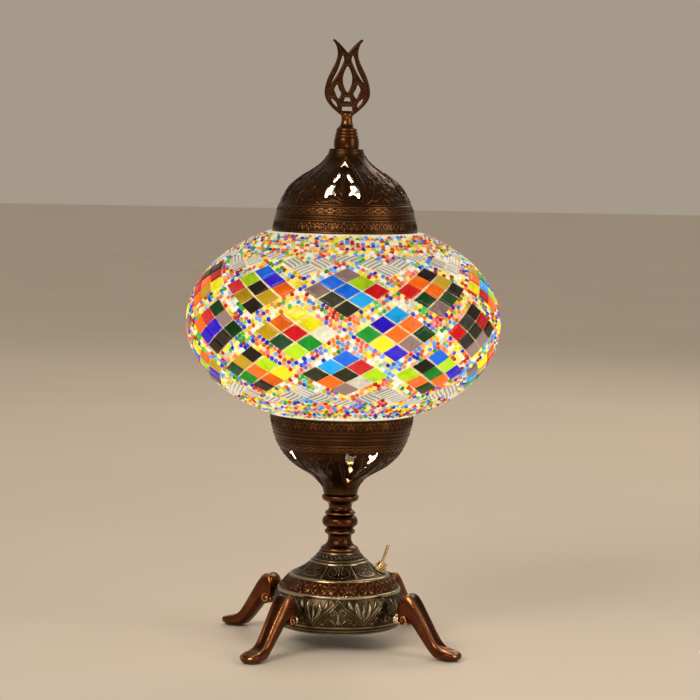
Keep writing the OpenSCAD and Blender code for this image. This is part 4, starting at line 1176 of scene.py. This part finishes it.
bushing = [(1.85, -5), (3, -5), (3, 5.3), (2.8, 5.5), (2.5, 5.5), (1.85, 2.6)]
washer = [(NUT_BORE_R, 0.35), (4.6, 0.35), (4.7, 0.45), (4.7, 0.75), (4.6, NUT_LOW),
          (NUT_BORE_R, NUT_LOW)]
nut = [(NUT_BORE_R, NUT_LOW), (NUT_CORNER_R, NUT_LOW), (NUT_CORNER_R, NUT_HIGH),
       (NUT_BORE_R, NUT_HIGH)]
lever = [(0, -5.4), (0.6, -5.4), (0.8, -5.2), (0.8, -1.7)]
lever += [(1.8 * math.sin(t), -1.8 * math.cos(t)) for t in np.linspace(0.5, 2.6, 14)]
lever += [(0.85, 1.7), (0.9, 6), (1.0, 11), (1.15, 14.2)]
lever += [(1.15 * math.cos(t), 14.4 + 1.15 * math.sin(t)) for t in np.linspace(0.1, math.pi / 2, 8)]
turned_piece("toggle_bushing", "stand", "brass_fittings", brass, "switch_bushing", bushing, 72,
             step=0.12, tone=0.6, swell=thread, matrix=along_switch, sharp=35)
turned_piece("toggle_washer", "stand", "zinc_steel", steel, "switch_washer", washer, 64,
             step=0.12, tone=0.6, matrix=along_switch, sharp=35)
turned_piece("toggle_nut", "stand", "brass_fittings", brass, "switch_nut", nut, 96,
             step=0.15, tone=0.6, swell=hexagon, matrix=along_switch, sharp=25)
turned_piece("toggle_lever", "lever", "brass_fittings", brass, "switch_lever", lever, 40,
             step=None, tone=0.6, matrix=along_lever, sharp=50)

# ---- Globe ----

# The globe's half width, half height and middle, and how far its surface is measured out
GLOBE_A = 100.0
GLOBE_C = 66.0
GLOBE_Z = 206.0
WALK_STEP = 0.1
WALK_REACH = 84.0


def globe_point(t, depth=0.0):
    """Radius and height on the globe's section at an angle of the ellipse."""
    return (GLOBE_A - depth) * math.cos(t), GLOBE_Z + (GLOBE_C - depth) * math.sin(t)


def walk_angles():
    """Angle on the ellipse against distance along the surface from the equator."""
    t, s = 0.0, 0.0
    distances, angles = [0.0], [0.0]
    while s < WALK_REACH:
        t += WALK_STEP / math.hypot(GLOBE_A * math.sin(t), GLOBE_C * math.cos(t))
        s += WALK_STEP
        distances.append(s)
        angles.append(t)
    return np.array(distances), np.array(angles)


ARC_S, ARC_T = walk_angles()


def angle_at(s):
    return math.copysign(float(np.interp(abs(s), ARC_S, ARC_T)), s)


def surface_point(azimuth, s, depth):
    """Point on the globe, and the outward normal there."""
    t = angle_at(s)
    r, z = globe_point(t, depth)
    slope = Vector((math.cos(t) / GLOBE_A, math.sin(t) / GLOBE_C)).normalized()
    normal = Vector((slope.x * math.sin(azimuth), -slope.x * math.cos(azimuth), slope.y))
    return Vector((r * math.sin(azimuth), -r * math.cos(azimuth), z)), normal


def globe_arc(z0, z1, depth, count):
    t0, t1 = (math.asin((z - GLOBE_Z) / (GLOBE_C - depth)) for z in (z0, z1))
    return [globe_point(t0 + (t1 - t0) * k / count, depth) for k in range(count + 1)]


def islands(name):
    """Corner points of each separate solid in a CAD node, in millimetres."""
    work = bmesh.new()
    work.from_mesh(nodes[name].data)
    bmesh.ops.remove_doubles(work, verts=work.verts, dist=WELD)
    work.verts.ensure_lookup_table()
    seen = set()
    found = []
    for vertex in work.verts:
        if vertex.index in seen:
            continue
        stack, group = [vertex], []
        seen.add(vertex.index)
        while stack:
            v = stack.pop()
            group.append(v.co / MM)
            for edge in v.link_edges:
                other = edge.other_vert(v)
                if other.index not in seen:
                    seen.add(other.index)
                    stack.append(other)
        found.append(group)
    work.free()
    return found


# How much of a tile's face is glass; the rest is grout wiped over its edges
INSET = 0.965


def outer_face(group):
    """A tile's outer face: its middle, across, up and normal, and its corners in that plane."""
    centre = sum(group, Vector()) / len(group)
    outwards = Vector((centre.x / GLOBE_A ** 2, centre.y / GLOBE_A ** 2,
                       (centre.z - GLOBE_Z) / GLOBE_C ** 2)).normalized()
    ordered = sorted(group, key=lambda p: (p - centre).dot(outwards), reverse=True)
    face = ordered[:len(group) // 2]
    normal = (face[1] - face[0]).cross(face[2] - face[0]).normalized()
    if normal.dot(outwards) <= 0:
        normal = -normal
    middle = sum(face, Vector()) / len(face)
    across = max(face, key=lambda p: (p - middle).length) - middle
    across.normalize()
    up = normal.cross(across)
    corners = [(INSET * (p - middle).dot(across), INSET * (p - middle).dot(up)) for p in face]
    corners.sort(key=lambda c: math.atan2(c[1], c[0]))
    return middle, across, up, normal, corners


def line_at(chain, x):
    """Height of a chain of corners at x."""
    xs, ys = [c[0] for c in chain], [c[1] for c in chain]
    return float(np.interp(x, xs, ys))


EDGE_STEPS = [0, 0.012, 0.035, 0.08, 0.16, 0.28, 0.4]
TILE_STEPS = EDGE_STEPS + [0.5] + [1 - e for e in reversed(EDGE_STEPS)]
TILE_T = 2.0
# How far a tile's face lies under the CAD tile's, at the least and on average, and how much more
# the face sinks along its cut edge and towards it: depth and width
LEAST_SINK, SINK = 0.02, 0.13
EDGE_DROP = (0.32, 0.55)
PILLOW_DROP = (0.10, 2.2)
RIPPLE_SCALE = 0.35
SEED_REACH = 50


def add_tile(parts, group, rng, ripple, rows, columns, rib_pitch=0.0, rib_height=0.0):
    """A cut glass tile with rounded edges and a slightly uneven face."""
    middle, across, up, normal, corners = outer_face(group)
    left, right = min(corners), max(corners)
    upper = sorted(c for c in corners if c[1] > 0 or c in (left, right))
    lower = sorted(c for c in corners if c[1] <= 0 or c in (left, right))
    seed = Vector([rng.uniform(-SEED_REACH, SEED_REACH) for axis in range(3)])
    tilt_x, tilt_y = rng.uniform(-0.006, 0.006), rng.uniform(-0.012, 0.012)
    rib_turn = math.atan2(6.0, 9.1) * (1 if rng.random() < 0.5 else -1)
    face, floor_low, floor_high, rib_shading = [], [], [], []
    for a in columns:
        x = left[0] + (right[0] - left[0]) * a
        low, high = line_at(lower, x), line_at(upper, x)
        for b in rows:
            y = low + (high - low) * b
            edge = min(y - low, high - y) * 0.83
            drop = sum(depth * (1 - eased(edge / width))
                       for depth, width in (EDGE_DROP, PILLOW_DROP))
            wave = ripple * noise.noise(Vector((x * RIPPLE_SCALE, y * RIPPLE_SCALE, 0)) + seed)
            rib = 1.0
            # The rib's phase: 1 on a rib and 0 in a groove, kept for the ribbed glass's painted
            # light and shade.
            if rib_pitch:
                along = y * math.cos(rib_turn) - x * math.sin(rib_turn)
                rib = 0.5 + 0.5 * math.cos(TAU * along / rib_pitch)
            rib_shading.append(rib)
            height = (-SINK - float(drop) - abs(wave) + (tilt_x * x + tilt_y * y) * 0.6
                      - rib_height * (1 - rib))
            face.append((middle + across * x + up * y + normal * min(height, -LEAST_SINK))[:])
        for floor, y in ((floor_low, low), (floor_high, high)):
            floor.append((middle + across * x + up * y - normal * TILE_T)[:])
    shade = rng.random()
    n, m = len(columns), len(rows)
    parts.add(face, grid_faces(n, m, closed_columns=False), relief=rib_shading, shade=shade)
    strip = np.array([[i, i + 1, i + 1 + n, i + n] for i in range(n - 1)])
    for upper_line, lower_line, faces in ((face[0::m], floor_low, strip[:, ::-1]),
                                          (face[m - 1::m], floor_high, strip),
                                          (floor_low, floor_high, strip[:, ::-1])):
        parts.add(upper_line + lower_line, faces, shade=shade)


rng = random.Random(7)
tile_planes = []
for name in GLASS:
    node = "tiles_" + name
    tiles = Parts()
    for group in islands(node):
        tile_planes.append(outer_face(group))
        add_tile(tiles, group, rng, 0.16, TILE_STEPS, TILE_STEPS)
    tiles.build("tesserae_" + name, "globe", node, tile_glass[name], node, sharp=50)

RIB_ROWS = np.linspace(0, 1, 21)
RIB_COLUMNS = np.linspace(0, 1, 41)
panes = Parts()
for group in islands("ribbed_tiles"):
    tile_planes.append(outer_face(group))
    add_tile(panes, group, rng, 0.05, RIB_ROWS, RIB_COLUMNS, rib_pitch=2.4, rib_height=0.45)
panes.build("ribbed_panes", "globe", "ribbed_glass", ribbed, "ribbed_tiles", sharp=60)

# Grout between the tiles and beads, uneven as it is wiped by hand
BED_LOW, BED_HIGH = z_range("grout_bed")
BED_ROWS, BED_COLUMNS = 150, 420
GROUT_DEPTH, GROUT_BACK = 1.7, 2.95
GROUT_LUMP = 0.32
bed_azimuth = np.arange(BED_COLUMNS) * TAU / BED_COLUMNS
bed_line = np.array(globe_arc(BED_LOW, BED_HIGH, GROUT_DEPTH, BED_ROWS - 1))
lumps = [[noise.noise(Vector((r * math.sin(a), r * math.cos(a), z)) * 0.55) for a in bed_azimuth]
         for r, z in bed_line]
bed_front = around(bed_azimuth, bed_line[:, :1] + GROUT_LUMP * np.array(lumps), bed_line[:, 1:])
bed_back = turned_grid(globe_arc(BED_LOW, BED_HIGH, GROUT_BACK, BED_ROWS - 1), BED_COLUMNS)
bed = Parts()
bed.add(np.concatenate([bed_front, bed_back[::-1]]),
        grid_faces(2 * BED_ROWS, BED_COLUMNS, closed_rows=True))
bed.build("grout", "globe", "cream_grout", grout, "grout_bed")

# Plaster edges: a smooth band, and a proud lip at the glass neck
BAND_LOW, BAND_HIGH = z_range("rim_bands")
BAND_H = 3.7
EDGE_H = 0.9
EDGE_SEGMENTS = 360
edges = Parts()
for z1, up, rim in ((BAND_HIGH, 1, 44.0), (BAND_LOW, -1, 42.3)):
    z0, lip_z, inner_z = (z1 - up * down for down in (BAND_H, EDGE_H, 1.2))
    section = globe_arc(z0, lip_z, GROUT_DEPTH, 12) + globe_arc(lip_z, z1, 0.45, 6)
    section += [(rim, z1), (rim + 0.7, inner_z)] + globe_arc(inner_z, z0, 2.3, 6)
    section = resampled(section + section[:1], 0.5)[:-1]
    grid = turned_grid(section, EDGE_SEGMENTS)
    wobble = np.array([[noise.noise(Vector(p) * 0.35) for p in row] for row in grid])
    grid[..., 2] -= 0.12 * wobble * up
    grid[..., :2] *= (1 - 0.0022 * np.abs(wobble))[..., None]
    faces = grid_faces(len(section), EDGE_SEGMENTS, closed_rows=True)
    edges.add(grid, faces if up > 0 else faces[:, ::-1])
edges.build("plaster_edges", "globe", "cream_grout", plaster, "rim_bands", sharp=60)

# Beads: radius, depth of their middles under the globe's surface, and least distance between them
BEAD_R = 1.52
BEAD_DEPTH = 1.75
BEAD_GAP = 2.66
bead_names = list(BEADS)
bead_shares = [BEADS[name][2] for name in bead_names]


def bead_shape(segments=10, rows=7):
    """A seed bead: a squat ring with a dimple at either end of its bore."""
    vertices = []
    for k in range(rows):
        t = math.pi * k / (rows - 1)
        side = 0 < k < rows - 1
        r = math.sin(t) ** 0.8 if side else 0.0
        z = math.cos(t) * (0.86 if side else 0.7)
        for i in range(segments):
            a = TAU * i / segments
            vertices.append((r * math.cos(a), r * math.sin(a), z))
    return np.array(vertices), grid_faces(rows, segments)[:, ::-1]


BEAD_VERTICES, BEAD_FACES = bead_shape()


def add_bead(parts, at, normal, size, material=0):
    """A bead lying with its bore along the surface."""
    heading = Vector([bead_rng.uniform(-1, 1) for axis in range(3)])
    bore = (heading - normal * heading.dot(normal)).normalized()
    turn = np.array([normal.cross(bore)[:], normal[:], bore[:]])
    parts.add(BEAD_VERTICES * size @ turn + np.array(at[:]), BEAD_FACES, shade=bead_rng.random(),
              material=material)


class BeadField:
    """Beads laid on the globe so that none overlaps another or a tile."""

    BEAD_CELL = 3.0
    TILE_CELL = 24.0
    TILE_REACH = 12.5
    TILE_OVERLAP = 0.3

    def __init__(self):
        self.cells = {}
        self.placed = []
        self.tiles = {}
        for plane in tile_planes:
            self.tiles.setdefault(self.key(plane[0], self.TILE_CELL), []).append(plane)

    @staticmethod
    def key(point, size):
        return tuple(math.floor(c / size) for c in point)

    def near(self, table, point, size):
        """What a table holds in a point's cell and the 26 cells round it."""
        x, y, z = self.key(point, size)
        for dx, dy, dz in itertools.product((-1, 0, 1), repeat=3):
            yield from table.get((x + dx, y + dy, z + dz), ())

    def clear_of_tiles(self, point):
        for middle, across, up, normal, corners in self.near(self.tiles, point, self.TILE_CELL):
            offset = point - middle
            if offset.length > self.TILE_REACH:
                continue
            px, py = offset.dot(across), offset.dot(up)
            outside = -1e6
            for (ax, ay), (bx, by) in zip(corners, corners[1:] + corners[:1]):
                away = (px - ax) * (by - ay) - (py - ay) * (bx - ax)
                outside = max(outside, away / math.hypot(bx - ax, by - ay))
            if outside < BEAD_R - self.TILE_OVERLAP:
                return False
        return True

    def take(self, point):
        self.cells.setdefault(self.key(point, self.BEAD_CELL), []).append(point)

    def lay(self, azimuth, s, gap=BEAD_GAP):
        """Lays a bead at an azimuth and a distance from the equator, if there is room for it."""
        point, normal = surface_point(azimuth, s, BEAD_DEPTH)
        beads = self.near(self.cells, point, self.BEAD_CELL)
        if all((bead - point).length >= gap for bead in beads) and self.clear_of_tiles(point):
            self.take(point)
            self.placed.append((point, normal))


def radius_at(s):
    return globe_point(angle_at(s))[0]


# Strings round the top and bottom of the globe
FIRST_RING = 60.8
RING_PITCH = 3.1
RING_COUNT = 7
field = BeadField()
bead_rng = random.Random(19)
strings = Parts()
for side, k in itertools.product((1, -1), range(RING_COUNT)):
    s = side * (FIRST_RING + RING_PITCH * k)
    count = int(TAU * (radius_at(s) - 1.0) / (2 * BEAD_R + 0.12))
    turn = bead_rng.uniform(0, TAU)
    for i in range(count):
        azimuth = turn + (i + bead_rng.uniform(-0.08, 0.08)) * TAU / count
        at, normal = surface_point(azimuth, s + bead_rng.uniform(-0.12, 0.12), BEAD_DEPTH)
        field.take(at)
        size = BEAD_R * bead_rng.uniform(0.96, 1.06)
        colour = bead_rng.choices(range(len(bead_names)), bead_shares)[0]
        add_bead(strings, at, normal, size, colour)
strings.build("bead_strings", "globe", "glass_beads", [bead_glass[name] for name in bead_names],
              "bead_rings", weld=False)

# Strings that follow the patches' outlines, then loose beads wherever there is room left
PATCH_AZ = math.radians(1.3)
SECTOR = TAU / 10
ROW_PITCH = 27.5
PATCH_HALF_U, PATCH_HALF_S = 27.3, 18.0
FIELD_EDGE = 58.6
STRING_STEP = 0.45
FILL_STEP = 0.6
FILL_GAP = BEAD_GAP - 0.16
diamond = [(PATCH_HALF_U, 0), (0, PATCH_HALF_S), (-PATCH_HALF_U, 0), (0, -PATCH_HALF_S)]
for ring, row, k, c in itertools.product(range(5), (1, 0, -1), range(10), range(4)):
    grow = 1 + (1.2 + 2.62 * ring) / 15.0
    middle_az = PATCH_AZ + (k + (0.5 if row == 0 else 0)) * SECTOR
    (u0, s0), (u1, s1) = diamond[c], diamond[(c + 1) % 4]
    steps = max(2, int(math.hypot(u1 - u0, s1 - s0) * grow / STRING_STEP))
    for f in (i / steps for i in range(steps)):
        s = row * ROW_PITCH + (s0 + (s1 - s0) * f) * grow
        u = (u0 + (u1 - u0) * f) * grow
        if abs(s) <= FIELD_EDGE:
            field.lay(middle_az + u / radius_at(s), s)
for s in np.arange(-FIELD_EDGE, FIELD_EDGE + 0.1, FILL_STEP):
    turns = int(TAU * radius_at(s) / FILL_STEP)
    first = bead_rng.uniform(0, TAU)
    for k in range(turns):
        field.lay(first + k * TAU / turns, s, FILL_GAP)

# A handful of one colour often lies together
BEAD_SIZES = (0.96, 1.07)
BEAD_SINKS = (-0.1, 0.2)
CLUSTER = 9.0
CLUSTER_SHARE = 0.4
colour_parts = {name: Parts() for name in bead_names}
clusters = {}
for at, normal in field.placed:
    cell = field.key(at, CLUSTER)
    if cell not in clusters:
        clusters[cell] = bead_rng.choices(bead_names, bead_shares)[0]
    name = clusters[cell]
    if bead_rng.random() >= CLUSTER_SHARE:
        name = bead_rng.choices(bead_names, bead_shares)[0]
    sink = bead_rng.uniform(*BEAD_SINKS)
    size = BEAD_R * bead_rng.uniform(*BEAD_SIZES)
    add_bead(colour_parts[name], at - normal * sink, normal, size)
for name, parts in colour_parts.items():
    parts.build("beads_" + name, "globe", "glass_beads", bead_glass[name], weld=False)

# ---- Floor and light ----

FLOOR_HALF = 9.0
WORLD_COLOUR = (1.0, 0.85, 0.68, 1)
WORLD_STRENGTH = 0.38
floor_corners = [(-FLOOR_HALF, -FLOOR_HALF, 0), (FLOOR_HALF, -FLOOR_HALF, 0),
                 (FLOOR_HALF, FLOOR_HALF, 0), (-FLOOR_HALF, FLOOR_HALF, 0)]
floor_mesh = bpy.data.meshes.new("floor")
floor_mesh.from_pydata(floor_corners, [], [(0, 1, 2, 3)])
floor_mesh.materials.append(clouded("pale_floor", 3.0, 3.0,
                                    {"Base Color": ((0.78, 0.71, 0.62), (0.82, 0.75, 0.66))},
                                    {"Roughness": 0.55}))
floor = bpy.data.objects.new("floor", floor_mesh)
bpy.context.collection.objects.link(floor)

world = bpy.data.worlds.new("studio")
bpy.context.scene.world = world
world.use_nodes = True
background = world.node_tree.nodes["Background"]
background.inputs["Color"].default_value = WORLD_COLOUR
background.inputs["Strength"].default_value = WORLD_STRENGTH


def area_light(name, at, target, size, power, colour):
    data = bpy.data.lights.new(name, "AREA")
    data.shape = "RECTANGLE"
    data.size, data.size_y = size
    data.energy = power
    data.color = colour
    light = bpy.data.objects.new(name, data)
    light.location = at
    light.rotation_euler = (Vector(target) - Vector(at)).to_track_quat("-Z", "Y").to_euler()
    bpy.context.collection.objects.link(light)


CENTRE = (0, 0, 0.19)
area_light("key", (-0.9, -1.3, 1.15), CENTRE, (0.9, 0.7), 15, (1.0, 0.9, 0.78))
area_light("fill", (1.5, -0.8, 0.7), CENTRE, (0.8, 1.1), 9, (1.0, 0.9, 0.8))
area_light("rim", (0.5, 1.5, 1.2), CENTRE, (1.2, 0.6), 6, (1.0, 0.82, 0.64))
area_light("front_strip", (0.05, -1.9, 0.06), (0, 0, 0.06), (0.5, 0.1), 2.6, (1.0, 0.93, 0.84))
